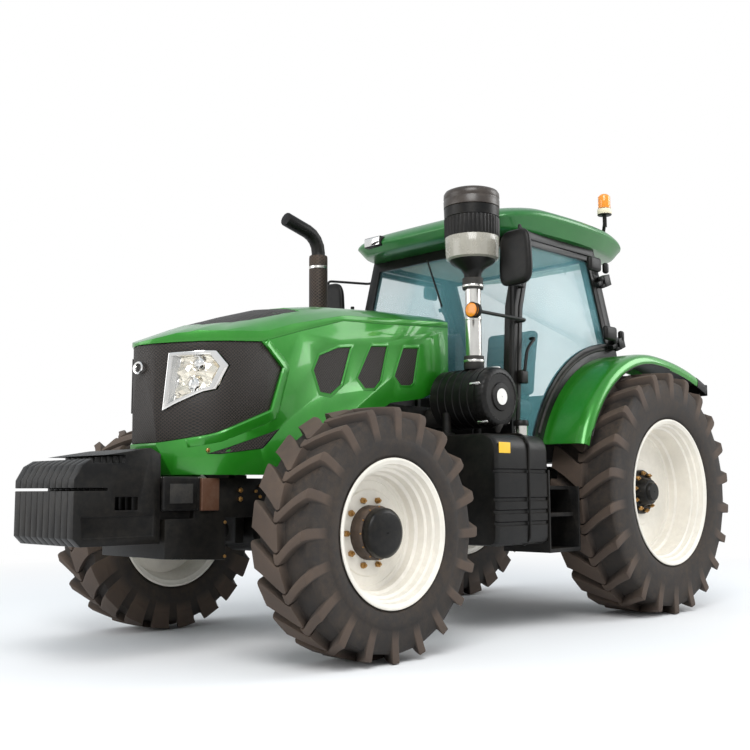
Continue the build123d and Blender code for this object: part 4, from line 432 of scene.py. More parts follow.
for hand, side in (("left", 1), ("right", -1)):
    front, rear = FRONT_WHEEL, REAR_WHEEL
    front_body, rear_body = f"wheel_front_{hand}", f"wheel_rear_{hand}"
    rim(f"rim_front_{hand}", front_body, front, *FRONT_RIM, 0.944, 0.141, side)
    rim(f"rim_rear_{hand}", rear_body, rear, *REAR_RIM, 0.89, 0.15, side)
    # dusty cast case of the front planetary, its black cap bolted over the outer end
    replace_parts(lathed(f"front_hub_case_{hand}", [(0.83, 0.05), (0.83, 0.17), (0.925, 0.17), (0.9285, 0.14),
            (1.012, 0.1395), (1.02, 0.1365), (1.024, 0.13), (1.024, 0.05)], front, side, "hub_cast",
            front_body, 64), f"hub_front_{hand}")
    lathed(f"front_hub_cap_{hand}", [(1.02, 0.03), (1.02, 0.126), (1.03, 0.1285), (1.064, 0.1275),
            (1.07, 0.124), (1.08, 0.108), (1.083, 0.1), (1.083, 0.004), (1.06, 0.003)], front, side,
            "hub_black", front_body, 64)
    nut_ring(f"front_wheel_nuts_{hand}", (front[0], front[2]), 0.952, 0.172,
            [pi / 5 * k for k in range(10)], 0.0165, 0.02, side, front_body)
    nut_ring(f"front_cap_bolts_{hand}", (front[0], front[2]), 1.018, 0.1335,
            [pi / 6 * k for k in range(12)], 0.005, 0.006, side, front_body)
    # the rear hub's black flange and the tapered nose of the axle beyond it
    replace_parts(lathed(f"rear_hub_{hand}", [(0.66, 0.04), (0.66, 0.1), (0.875, 0.11), (0.876, 0.149),
            (0.892, 0.156), (0.918, 0.156), (0.924, 0.152), (0.926, 0.105), (0.94, 0.098), (0.985, 0.088),
            (0.99, 0.084), (0.992, 0.07), (1.006, 0.066), (1.014, 0.06), (1.016, 0.03), (1.016, 0.004),
            (0.98, 0.003)], rear, side, "hub_black", rear_body, 64), f"hub_rear_{hand}")
    nut_ring(f"rear_wheel_nuts_{hand}", (rear[0], rear[2]), 0.93, 0.132,
            [pi / 5 * k + 0.2 for k in range(10)], 0.016, 0.02, side, rear_body)
    for label, middle, out, reach, turn, body in (
            ("front", front, 1.05, 0.336, radians(40), front_body),
            ("rear", rear, 1.03, 0.452, radians(20), rear_body)):
        nut_ring(f"{label}_valve_{hand}", (middle[0], middle[2]), out, reach, [turn], 0.008, 0.035, side,
                body)

# ================================================================ hood screens and grille
# The hood is pressed sheet steel. Fine black mesh is clipped behind its three side vents, the low
# vent and the opening on top, and a wide bevelled lip runs round the rear of the grille.
HOOD_PLAN = ((0.11, 0.4), (1.63, 0.4), (1.86, 0.362), (2.0, 0.305), (2.1, 0.205), (2.17, 0.105), (2.2, 0.0))
HOOD_CROWN = ((0.09, 2.03, 1.948), (0.6, 2.02, 1.908), (1.05, 1.987, 1.877), (1.44, 1.93, 1.778),
        (1.67, 1.862, 1.706), (1.89, 1.79, 1.668), (2.205, 1.655, 1.642))
CROWN_HALF_WIDTH = 0.43
CROWN_FALL = ((0.0, 0.0), (0.3, 0.07), (0.58, 0.27), (0.8, 0.58), (0.92, 0.85), (1.0, 1.0))

screen_black = finished("screen_black", (0.008, 0.007, 0.006), 0.5, dust=0.1)


def pierced(material, holes, dark, light):
    """Lays the screening on a material: the mask of its wire, and the two colours mixed by it."""
    tree = material.node_tree
    pattern = tree.nodes.new("ShaderNodeGroup")
    pattern.node_tree = screening
    pattern.inputs["Holes per Metre"].default_value = holes
    wire = pattern.outputs["Wire"]
    mixed = joined(tree, "Mix", {"data_type": "RGBA"}, i0=wire, i6=(*dark, 1), i7=(*light, 1))
    return wire, mixed.outputs[2]


shader = screen_black.node_tree.nodes["Principled BSDF"]
wire, mixed = pierced(screen_black, 55.0, (0.002, 0.002, 0.002), (0.035, 0.024, 0.017))
screen_black.node_tree.links.new(mixed, shader.inputs["Base Color"])
relief = joined(screen_black.node_tree, "Bump", Strength=0.9, Distance=0.004, Height=wire)
screen_black.node_tree.links.new(relief.outputs["Normal"], shader.inputs["Normal"])


def skin_y(x):
    """Half width of the hood at x."""
    return float(np.interp(x, [p[0] for p in HOOD_PLAN], [p[1] for p in HOOD_PLAN]))


def skin_x(y):
    """How far forward the nose reaches at y."""
    return float(np.interp(abs(y), [p[1] for p in reversed(HOOD_PLAN[1:])],
            [p[0] for p in reversed(HOOD_PLAN[1:])]))


def crown_z(x, y):
    """Height of the hood's top at (x, y)."""
    middle, edge = (float(np.interp(x, [row[0] for row in HOOD_CROWN], [row[k] for row in HOOD_CROWN]))
            for k in (1, 2))
    fall = float(np.interp(abs(y) / CROWN_HALF_WIDTH, [p[0] for p in CROWN_FALL], [p[1] for p in CROWN_FALL]))
    return middle - fall * (middle - edge)


def plate(name, outline, lay, slot, look=None, cuts=4):
    """A thin plate of the hood with a flat outline, divided finely and laid onto a surface."""
    bm = bmesh.new()
    corners = [bm.verts.new((u, v, 0)) for u, v in outline]
    bm.faces.new(corners)
    bmesh.ops.triangulate(bm, faces=bm.faces)
    bmesh.ops.subdivide_edges(bm, edges=bm.edges, cuts=cuts, use_grid_fill=True)
    for vert in bm.verts:
        vert.co = Vector(lay(vert.co.x, vert.co.y))
    bmesh.ops.recalc_face_normals(bm, faces=bm.faces)
    mesh = bpy.data.meshes.new(name)
    bm.to_mesh(mesh)
    bm.free()
    sheet = placed(name, mesh, slot, "hood", look)
    thick = sheet.modifiers.new("thickness", "SOLIDIFY")
    thick.thickness = 0.002
    thick.offset = 0.0


def middle_of(outline):
    """The mean place of an outline's corners."""
    return sum(p[0] for p in outline) / len(outline), sum(p[1] for p in outline) / len(outline)


def surround(name, outline, lay, share, lift, slot):
    """A raised frame round an outline on the hood: how far each station lies toward the middle, and
    how high above the surface."""
    middle = middle_of(outline)
    ring = []
    for (u0, v0), (u1, v1) in zip(outline, outline[1:] + outline[:1]):
        ring += [(u0 + (u1 - u0) * k / 8, v0 + (v1 - v0) * k / 8) for k in range(8)]
    points = []
    for part, rise in zip(share, lift):
        for u, v in ring:
            points.append(lay(u + (middle[0] - u) * part, v + (middle[1] - v) * part, rise))
    return moulded(name, points, len(share), len(ring), slot, "hood")


SIDE_VENTS = {
    "vent_front": [(1.103, 1.697), (0.988, 1.714), (1.071, 1.475), (1.159, 1.41), (1.245, 1.417),
                   (1.299, 1.545), (1.253, 1.636)],
    "vent_middle": [(0.828, 1.735), (0.679, 1.75), (0.743, 1.522), (0.795, 1.47), (0.881, 1.464),
                    (0.947, 1.525)],
    "vent_rear": [(0.543, 1.75), (0.394, 1.765), (0.444, 1.531), (0.473, 1.51), (0.565, 1.504),
                  (0.627, 1.561)],
    "vent_low": [(1.954, 1.06), (1.564, 1.192), (1.668, 1.091), (1.896, 1.059)]}


def on_side(side, depth):
    """Lays an outline of (x, z) on one side of the hood, a little below or above its skin."""
    return lambda x, z, rise=0.0: (x, side * (skin_y(x) + (rise or depth)), z)


for hand, side in (("left", 1), ("right", -1)):
    for vent, outline in SIDE_VENTS.items():
        lay = on_side(side, 0.0015 if vent == "vent_low" else -0.0065)
        plate(f"{vent}_screen_{hand}", outline, lay, "black_plastic", look=screen_black)
        surround(f"{vent}_rim_{hand}", outline, lay, (-0.10, -0.04, 0.02, 0.06, 0.03),
                (0.0005, 0.003, 0.003, -0.004, -0.006), "body_green" if vent != "vent_low" else "cab_black")
TOP_SCREEN = [(1.29, 0.262), (1.46, 0.282), (1.78, 0.256), (1.905, 0.166)]
plate("top_screen", TOP_SCREEN + [(x, -y) for x, y in reversed(TOP_SCREEN)],
        lambda x, y: (x, y, crown_z(x, y) - 0.0055), "black_plastic", look=screen_black, cuts=8)
cad["grille"].data.materials[0] = screen_black

# The lip: from under the visor down the side and forward along the chin, on each side.
LIP_WIDTH = 0.062
LIP_SECTION = ((-0.08, -0.012), (-0.02, 0.002), (0.12, 0.007), (0.9, 0.001), (1.0, -0.002))
LIP = ((1.655, 1.665), (1.523, 1.54), (1.607, 1.3), (1.917, 1.168), (2.06, 1.128))
for hand, side in (("left", 1), ("right", -1)):
    points, faces = [], []
    stations = []
    for (x0, z0), (x1, z1) in zip(LIP, LIP[1:]):
        stations += [(x0 + (x1 - x0) * k / 10, z0 + (z1 - z0) * k / 10) for k in range(10)]
    stations.append(LIP[-1])
    for index, (x, z) in enumerate(stations):
        before, after = stations[max(index - 2, 0)], stations[min(index + 2, len(stations) - 1)]
        run = Vector((after[0] - before[0], after[1] - before[1])).normalized()
        outward = Vector((run.y, -run.x))
        width = LIP_WIDTH * (1 - 0.35 * abs(2 * index / len(stations) - 1))
        for share, rise in LIP_SECTION:
            px, pz = x + outward.x * width * share, z + outward.y * width * share
            points.append((px, side * (skin_y(px) + rise), pz))
    across = len(LIP_SECTION)
    for index in range(len(stations) - 1):
        for k in range(across - 1):
            start = index * across + k
            faces.append((start, start + 1, start + across + 1, start + across))
    mesh = bpy.data.meshes.new(f"grille_lip_{hand}")
    mesh.from_pydata(points, [], faces)
    smoothed(mesh, 35)
    lip = placed(f"grille_lip_{hand}", mesh, "body_green", "hood")
    solid = lip.modifiers.new("thickness", "SOLIDIFY")
    solid.thickness = 0.001

# ================================================================ headlights
# Each lamp unit has a bright bezel along the edge of its pocket, a plated bowl behind, two domed
# projectors, and a clear moulded cover flush with the hood.
LAMP_FACE = [(0.15, 1.285), (0.175, 1.59), (0.33, 1.605), (0.355, 1.53), (0.33, 1.4)]
BOWL_INSET = 0.17
BOWL_DEPTH = 0.05
bowl_chrome = finished("lamp_bowl_chrome", (0.95, 0.88, 0.74), 0.13, metallic=1.0, dust=0.0, grain=0.25,
                       grain_scale=28)


def on_nose(side):
    """Lays an outline of (out from the middle, z) on one side of the nose."""
    return lambda y, z, rise=0.0: (skin_x(y) + rise, side * y, z)


for hand, side in (("left", 1), ("right", -1)):
    nose = on_nose(side)
    pocket = surround(f"headlight_bezel_{hand}", LAMP_FACE, nose, (0.0, 0.0, 0.03, 0.15, 0.17, 0.2, 0.2),
            (-0.012, 0.002, 0.004, 0.002, -0.002, -0.05, -0.055), "chrome")
    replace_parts(pocket, "headlights")
    middle = middle_of(LAMP_FACE)
    inner = [(u + (middle[0] - u) * BOWL_INSET, v + (middle[1] - v) * BOWL_INSET) for u, v in LAMP_FACE]
    plate(f"headlight_bowl_{hand}", inner, lambda y, z: nose(y, z, -BOWL_DEPTH + 0.012 * sin(60 * z)),
            "chrome", look=bowl_chrome, cuts=8)
    plate(f"headlight_cover_{hand}", inner, lambda y, z: nose(y, z, -0.004), "lamp_clear", cuts=6)
    for label, y, z, r in (("high", 0.265, 1.535, 0.043), ("low", 0.245, 1.42, 0.05)):
        base = skin_x(y) - BOWL_DEPTH
        turned(f"headlight_{label}_projector_{hand}",
               [(0.0, r), (0.014, r * 1.02), (0.022, r * 0.96), (0.022, r * 0.84), (0.01, r * 0.8),
                (0.014, r * 0.72), (0.024, r * 0.55), (0.03, r * 0.28), (0.032, 0.0005),
                (-0.004, 0.0005), (-0.004, r * 0.9)],
               lambda out, u, v: (base + out, side * (y + u), z + v), "chrome", "hood", 40)

# ================================================================ intake stack
# A polished steel stack from the air cleaner, clamped into rubber sleeves, with a centrifugal
# pre-cleaner on top: dark neck, clouded bowl, ribbed skirt, band and cap.
STACK = (0.17, 0.665)


def stood(name, profile, slot, at=STACK, segments=72, ribs=None, look=None):
    """A piece turned about an upright axis, from (height, radius) points."""
    return turned(name, profile, lambda z, u, v: (at[0] + u, at[1] + v, z), slot, "chassis", segments, ribs,
                  look)


pipe = stood("intake_pipe", [(1.622, 0.01), (1.622, 0.0505), (2.168, 0.0505), (2.168, 0.01)], "steel")
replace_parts(pipe, "intake_pipe")
clouded = finished("clouded_bowl", (0.42, 0.4, 0.34), 0.22, coat=0.4, dust=0.3, Transmission_Weight=0.25)
bowl = stood("pre_cleaner", [(2.17, 0.02), (2.17, 0.06), (2.2, 0.061), (2.205, 0.055), (2.23, 0.056),
        (2.26, 0.075), (2.3, 0.14), (2.32, 0.15), (2.32, 0.02)], "black_plastic")
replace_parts(bowl, "pre_cleaner")
stood("pre_cleaner_bowl", [(2.315, 0.02), (2.315, 0.152), (2.325, 0.168), (2.4, 0.172), (2.46, 0.1735),
        (2.465, 0.17), (2.465, 0.02)], "white_plastic", look=clouded)
stood("pre_cleaner_skirt", [(2.462, 0.02), (2.462, 0.172), (2.468, 0.177), (2.58, 0.178), (2.586, 0.173),
        (2.586, 0.02)], "black_plastic", segments=96, ribs=(2.467, 2.581, 0.008, 2, 1))
stood("pre_cleaner_band", [(2.584, 0.02), (2.584, 0.17), (2.59, 0.1765), (2.65, 0.178), (2.655, 0.174),
        (2.655, 0.02)], "hub_black")
cap_brown = finished("cap_brown", (0.03, 0.022, 0.018), 0.32, dust=0.1)
stood("pre_cleaner_cap", [(2.653, 0.02), (2.653, 0.173), (2.657, 0.179), (2.7, 0.1798), (2.706, 0.1765),
        (2.712, 0.1765), (2.718, 0.1795), (2.745, 0.178), (2.76, 0.169), (2.768, 0.15), (2.77, 0.12),
        (2.77, 0.003), (2.74, 0.003)], "black_plastic", look=cap_brown)
for name, low, high, r, slot in (
        ("stack_collar", 2.13, 2.2, 0.066, "black_rubber"),
        ("stack_clamp_high", 2.142, 2.156, 0.0685, "steel"),
        ("stack_sleeve", 1.615, 1.7, 0.064, "black_rubber"),
        ("stack_clamp_low", 1.66, 1.675, 0.0665, "steel"),
        ("stack_band", 1.93, 1.945, 0.0535, "steel")):
    stood(name, [(low, r - 0.012), (low, r - 0.001), (low + 0.002, r), (high - 0.002, r), (high, r - 0.001),
                 (high, r - 0.012)], slot)

# ================================================================ air cleaner
# The main air cleaner lies across the machine on the tank: a black moulded drum with ribs round
# it, a ribbed end cap held by clips, a blank round label and a rubber dust valve.
DRUM = (0.17, 1.43)


def lying(name, profile, slot, at=DRUM, segments=72, ribs=None):
    """A piece turned about a crosswise axis, from (out, radius) points."""
    return turned(name, profile, lambda y, u, v: (at[0] + u, y, at[1] + v), slot, "chassis", segments, ribs)


profile = [(0.45, 0.02), (0.45, 0.184), (0.456, 0.189)]
for y in (0.51, 0.57, 0.63, 0.69, 0.75):
    profile += [(y - 0.008, 0.1845), (y - 0.005, 0.1895), (y + 0.005, 0.1895), (y + 0.008, 0.1845)]
profile += [(0.79, 0.1845), (0.793, 0.19), (0.81, 0.19), (0.813, 0.02)]
drum = lying("air_cleaner", profile, "black_plastic")
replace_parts(drum, "air_cleaner")
lying("air_cleaner_cap", [(0.81, 0.02), (0.81, 0.186), (0.822, 0.188), (0.862, 0.182), (0.874, 0.17),
        (0.878, 0.15), (0.872, 0.145), (0.872, 0.09), (0.88, 0.085), (0.882, 0.055), (0.875, 0.05),
        (0.875, 0.003), (0.85, 0.003)], "black_plastic", segments=96, ribs=(0.871, 0.8785, 0.004, 3, 0))
lying("air_cleaner_label", [(0.8825, 0.003), (0.8835, 0.003), (0.8835, 0.05), (0.8825, 0.051)],
        "white_plastic")
for turn in (0.4, 1.7, 2.9, 4.1, 5.3):
    at = (DRUM[0] + 0.187 * cos(turn), DRUM[1] + 0.187 * sin(turn))
    lying(f"air_cleaner_clip_{round(turn * 10)}", [(0.775, 0.002), (0.775, 0.012), (0.84, 0.012),
            (0.85, 0.006), (0.85, 0.002)], "steel", at=at, segments=8)
for x in (0.02, 0.32):
    stood(f"air_cleaner_foot_{round(x * 100)}", [(1.2005, 0.003), (1.2005, 0.05), (1.212, 0.05),
            (1.216, 0.03), (1.34, 0.026), (1.34, 0.003)], "chassis_black", at=(x, 0.56), segments=24)
stood("air_cleaner_valve", [(1.21, 0.003), (1.21, 0.012), (1.23, 0.02), (1.25, 0.032), (1.262, 0.034),
        (1.262, 0.003)], "black_rubber", at=(0.17, 0.845), segments=24)
lying("air_cleaner_duct", [(0.301, 0.003), (0.301, 0.068), (0.33, 0.07), (0.36, 0.066), (0.39, 0.07),
        (0.42, 0.066), (0.47, 0.07), (0.47, 0.003)], "black_rubber", at=(0.17, 1.33))

# ================================================================ roof
# A moulded glass-fibre roof: a crowned top, a rounded shoulder, a side band that leans in, and a
# turned-under lip over the door heads. It runs out over the windscreen as a visor.
ROOF_OUTLINE = ((-1.71, 0.3), (-1.69, 0.54), (-1.58, 0.7), (-1.3, 0.78), (-0.95, 0.815), (-0.6, 0.81),
        (-0.36, 0.785), (-0.2, 0.735), (-0.1, 0.64), (-0.06, 0.46), (-0.05, 0.2))
ROOF_MIDDLE_X = -0.8
ROOF_HALF_WIDTH = 0.819
ROOF_FOOT_Z = 2.5905
# share of the half width, fore and aft share, height
ROOF_RINGS = (
    (0.0, 0.0, 2.592), (0.78, 0.8, 2.592), (0.9, 0.93, 2.594), (0.925, 0.95, 2.601), (0.94, 0.963, 2.62),
    (0.985, 0.99, 2.685), (0.998, 0.998, 2.702), (1.0, 1.0, 2.715), (0.993, 0.995, 2.731),
    (0.97, 0.98, 2.747), (0.9, 0.93, 2.772), (0.82, 0.87, 2.786), (0.65, 0.7, 2.81), (0.45, 0.5, 2.828),
    (0.25, 0.3, 2.838), (0.1, 0.1, 2.842), (0.0, 0.0, 2.843))
ring = [*ROOF_OUTLINE, *((x, -y) for x, y in reversed(ROOF_OUTLINE))]
smooth_ring = []
for index in range(len(ring)):
    a, b, c, d = (Vector(ring[(index + k) % len(ring)]) for k in (-1, 0, 1, 2))
    for step in range(6):
        t = step / 6
        curved = (2 * a - 5 * b + 4 * c - d) * t * t + (3 * b - a - 3 * c + d) * t ** 3
        smooth_ring.append(0.5 * (2 * b + (c - a) * t + curved))
points = []
for across, along, z in ROOF_RINGS:
    for corner in smooth_ring:
        x = ROOF_MIDDLE_X + (corner.x - ROOF_MIDDLE_X) * along
        y = max(-ROOF_HALF_WIDTH, min(ROOF_HALF_WIDTH, corner.y * across))
        nose = max(0.0, (x + 0.5) / 0.45)
        tail = max(0.0, (-1.25 - x) / 0.4)
        sag = 0.065 * nose ** 1.6 + 0.045 * tail ** 1.5
        share = max(0.0, (z - 2.6) / 0.12 if z < 2.72 else 1.0)
        points.append((x, y, max(z - sag * share, ROOF_FOOT_Z)))
top = moulded("roof_shell", points, len(ROOF_RINGS), len(smooth_ring), "roof_green")
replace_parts(top, "roof")

# ================================================================ tank, strap and filler
# The moulded fuel tank stands beside the gearbox, held by a steel strap. Its filler is a plain
# steel neck with a black cap, and a small blank warning plate sits near its top edge.
def boxed(name, low, high, slot, radius, body="chassis", look=None):
    """A block between two corners with its edges broken by a small radius."""
    bm = bmesh.new()
    bmesh.ops.create_cube(bm, size=1.0)
    size = Vector(high) - Vector(low)
    middle = (Vector(high) + Vector(low)) / 2
    bmesh.ops.scale(bm, vec=size, verts=bm.verts)
    bmesh.ops.bevel(bm, geom=bm.edges, offset=radius, segments=3, profile=0.5, affect="EDGES",
            clamp_overlap=True)
    for face in bm.faces:
        face.smooth = True
    bmesh.ops.translate(bm, verts=bm.verts, vec=middle)
    mesh = bpy.data.meshes.new(name)
    bm.to_mesh(mesh)
    bm.free()
    mesh.set_sharp_from_angle(angle=radians(50))
    return placed(name, mesh, slot, body, look)


def piped(name, route, radius, slot, body="chassis"):
    """A bent tube along a few points, its bends rounded."""
    curve = bpy.data.curves.new(name, "CURVE")
    curve.dimensions = "3D"
    curve.bevel_depth = radius
    curve.bevel_resolution = 3
    curve.use_fill_caps = True
    line = curve.splines.new("POLY")
    path = [Vector(route[0])]
    for before, at, after in zip(route, route[1:], route[2:]):
        before, at, after = Vector(before), Vector(at), Vector(after)
        reach = min(4 * radius, (at - before).length * 0.45, (after - at).length * 0.45)
        start, end = at + (before - at).normalized() * reach, at + (after - at).normalized() * reach
        path += [start.lerp(at, t / 5).lerp(at.lerp(end, t / 5), t / 5) for t in range(6)]
    path.append(Vector(route[-1]))
    line.points.add(len(path) - 1)
    for point, spot in zip(line.points, path):
        point.co = (*spot, 1)
    drawn = bpy.data.objects.new(name, curve)
    scene.collection.objects.link(drawn)
    bpy.context.view_layer.update()
    mesh = bpy.data.meshes.new_from_object(drawn.evaluated_get(bpy.context.evaluated_depsgraph_get()))
    bpy.data.objects.remove(drawn)
    mesh.materials.clear()
    smoothed(mesh)
    return placed(name, mesh, slot, body)


def skinned(name, rings, slot, angle=40):
    """A skin over a row of closed rings, with flat ends."""
    count = len(rings[0])
    points = [point for ring in rings for point in ring]
    faces = [(r * count + k, r * count + (k + 1) % count, (r + 1) * count + (k + 1) % count,
            (r + 1) * count + k) for r in range(len(rings) - 1) for k in range(count)]
    faces += [tuple(range(count)), tuple(reversed(range((len(rings) - 1) * count, len(rings) * count)))]
    mesh = bpy.data.meshes.new(name)
    mesh.from_pydata(points, [], faces)
    faced_out(mesh)
    smoothed(mesh, angle)
    return placed(name, mesh, slot)


section = [(0.52, 0.53), (0.955, 0.53), (0.985, 0.542), (0.997, 0.57)]
for z in (0.66, 0.73, 0.803, 0.973):
    section += [(1.0, z - 0.014), (0.99, z - 0.007), (0.99, z + 0.007), (1.0, z + 0.014)]
section += [(0.999, 1.1), (0.993, 1.135), (0.975, 1.165), (0.945, 1.188), (0.9, 1.198), (0.52, 1.2),
        (0.505, 1.18), (0.5, 1.1), (0.5, 0.6), (0.505, 0.54)]
rings = []
for x, inset in ((-0.132, 0.1), (-0.13, 0.04), (-0.122, 0.012), (-0.105, 0.0), (0.36, 0.0), (0.385, 0.012),
        (0.397, 0.04), (0.4, 0.1)):
    rings.append([(x, 0.75 + (y - 0.75) * (1 - inset), 0.865 + (z - 0.865) * (1 - 0.7 * inset))
            for y, z in section])
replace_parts(skinned("tank_shell", rings, "black_plastic"), "fuel_tank")
piped("tank_strap", [(0.075, 0.75, 1.2035), (0.075, 0.95, 1.2), (0.075, 1.003, 1.15), (0.075, 1.003, 0.56),
        (0.075, 0.95, 0.527)], 0.008, "chassis_black")
boxed("tank_plate", (0.255, 0.9996, 1.078), (0.365, 1.0016, 1.142), "amber", 0.0008,
        look=finished("warning_yellow", (0.85, 0.5, 0.02), 0.5, dust=0.1))
FILLER = (-0.047, 0.86)
stood("filler_neck", [(1.2, 0.003), (1.2, 0.04), (1.262, 0.041), (1.262, 0.003)], "steel", at=FILLER,
        segments=32)
stood("filler_cap", [(1.258, 0.003), (1.258, 0.047), (1.262, 0.049), (1.288, 0.048), (1.295, 0.042),
        (1.295, 0.003)], "black_plastic", at=FILLER, segments=48, ribs=(1.26, 1.289, 0.002, 2, 1))

# ================================================================ doors, wiper and headliner
# The doors are glass in slim black frames, with a pull handle, a latch and a rubber seal. A wiper
# hangs before the windscreen, and a moulded beige headliner lies under the roof.
DOOR_ARC = 1.045


def side_box(name, side, x, middle, half, z, slot, radius, body="chassis", look=None):
    """A block on one side: its reach in x, its middle and half width in y, and its reach in z."""
    return boxed(name, (x[0], side * middle - half, z[0]), (x[1], side * middle + half, z[1]), slot, radius,
                 body, look)


for hand, side in (("left", 1), ("right", -1)):
    piped(f"door_pull_{hand}", [(-0.23, side * 0.724, 1.63), (-0.23, side * 0.765, 1.63),
            (-0.26, side * 0.765, 1.78), (-0.35, side * 0.765, 1.86), (-0.35, side * 0.724, 1.86)], 0.011,
            "black_plastic", f"door_{hand}")
    side_box(f"door_latch_{hand}", side, (-0.27, -0.2), 0.745, 0.022, (1.55, 1.635), "black_plastic", 0.01,
            f"door_{hand}")
    piped(f"door_seal_{hand}", [(REAR_X + DOOR_ARC * sin(radians(a)), side * 0.722,
            REAR_WHEEL[2] + DOOR_ARC * cos(radians(a))) for a in range(8, 74, 6)], 0.012, "black_rubber",
            f"door_{hand}")
boxed("headliner", (-1.2, -0.56, 2.54), (-0.45, 0.56, 2.588), "liner_beige", 0.02)
piped("wiper_arm", [(-0.125, 0.02, 2.47), (-0.1, 0.05, 2.44), (-0.02, 0.24, 2.1)], 0.007, "black_plastic")

# ================================================================ seat
# Foam cushions under a woven cover, sewn with cross channels. Each is blown up gently from a
# slightly smaller block, so that its faces crown and its sides pull in between the corners.
PAD_SWELL = 0.014
CHANNEL = 0.009


def stuffed(name, node, low, high, corner, channels, across, face_on, lean=0.0):
    """A filled cushion between two corners, with sewn channels across the face that is sat on."""
    low, high = Vector(low), Vector(high)
    size, middle = high - low - Vector((0.016, 0.016, 0.016)), (low + high) / 2
    bm = bmesh.new()
    bmesh.ops.create_cube(bm, size=1.0)
    for vert in bm.verts:
        vert.co = Vector(a * b for a, b in zip(vert.co, size)) + middle
    bmesh.ops.bevel(bm, geom=list(bm.edges), offset=corner, segments=4, affect="EDGES", profile=0.5)
    block = bpy.data.meshes.new(name)
    bm.to_mesh(block)
    bm.free()
    pad = bpy.data.objects.new(name, block)
    scene.collection.objects.link(pad)
    even = pad.modifiers.new("even_mesh", "REMESH")
    even.mode = "VOXEL"
    even.voxel_size = 0.008
    mesh = bpy.data.meshes.new_from_object(pad.evaluated_get(bpy.context.evaluated_depsgraph_get()))
    pad.modifiers.remove(even)
    pad.data = mesh
    rest = np.empty(len(mesh.vertices) * 3)
    mesh.vertices.foreach_get("co", rest)
    filling = pad.modifiers.new("filling", "CLOTH")
    filling.settings.quality = 4
    filling.settings.mass = 0.3
    filling.settings.use_pressure = True
    filling.settings.uniform_pressure_force = 4.0
    filling.settings.effector_weights.gravity = 0.0
    filling.point_cache.frame_start, filling.point_cache.frame_end = 1, 20
    for step in range(1, 21):
        scene.frame_set(step)
    blown = pad.evaluated_get(bpy.context.evaluated_depsgraph_get()).data
    spots = np.empty(len(mesh.vertices) * 3)
    blown.vertices.foreach_get("co", spots)
    pad.modifiers.remove(filling)
    scene.frame_set(1)
    start, moved = rest.reshape(-1, 3), spots.reshape(-1, 3) - rest.reshape(-1, 3)
    reach = np.linalg.norm(moved, axis=1, keepdims=True)
    spots = start + moved * np.minimum(1.0, PAD_SWELL / np.maximum(reach, 1e-6))
    sat_on = np.clip((spots[:, face_on] - middle[face_on]) / (size[face_on] / 2) - 0.4, 0, 0.5) * 2
    for place in channels:
        spots[:, face_on] -= CHANNEL * sat_on * np.exp(-((spots[:, across] - place) / CHANNEL) ** 2)
    spots[:, 2] = np.maximum(spots[:, 2], low.z)
    spots[:, 0] -= lean * (spots[:, 2] - low.z)
    mesh.vertices.foreach_set("co", spots.ravel())
    smoothed(mesh)
    mesh.materials.append(slots["seat_fabric"])
    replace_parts(pad, node)
    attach(pad, "chassis")


stuffed("seat_cushion_pad", "seat_cushion", (-1.08, -0.25, 1.4), (-0.58, 0.25, 1.52), 0.035,
        (-0.95, -0.83, -0.71), 0, 2)
stuffed("seat_back_pad", "seat_back", (-1.11, -0.24, 1.545), (-0.995, 0.24, 2.08), 0.04, (1.7, 1.82, 1.94),
        2, 0, lean=0.159)

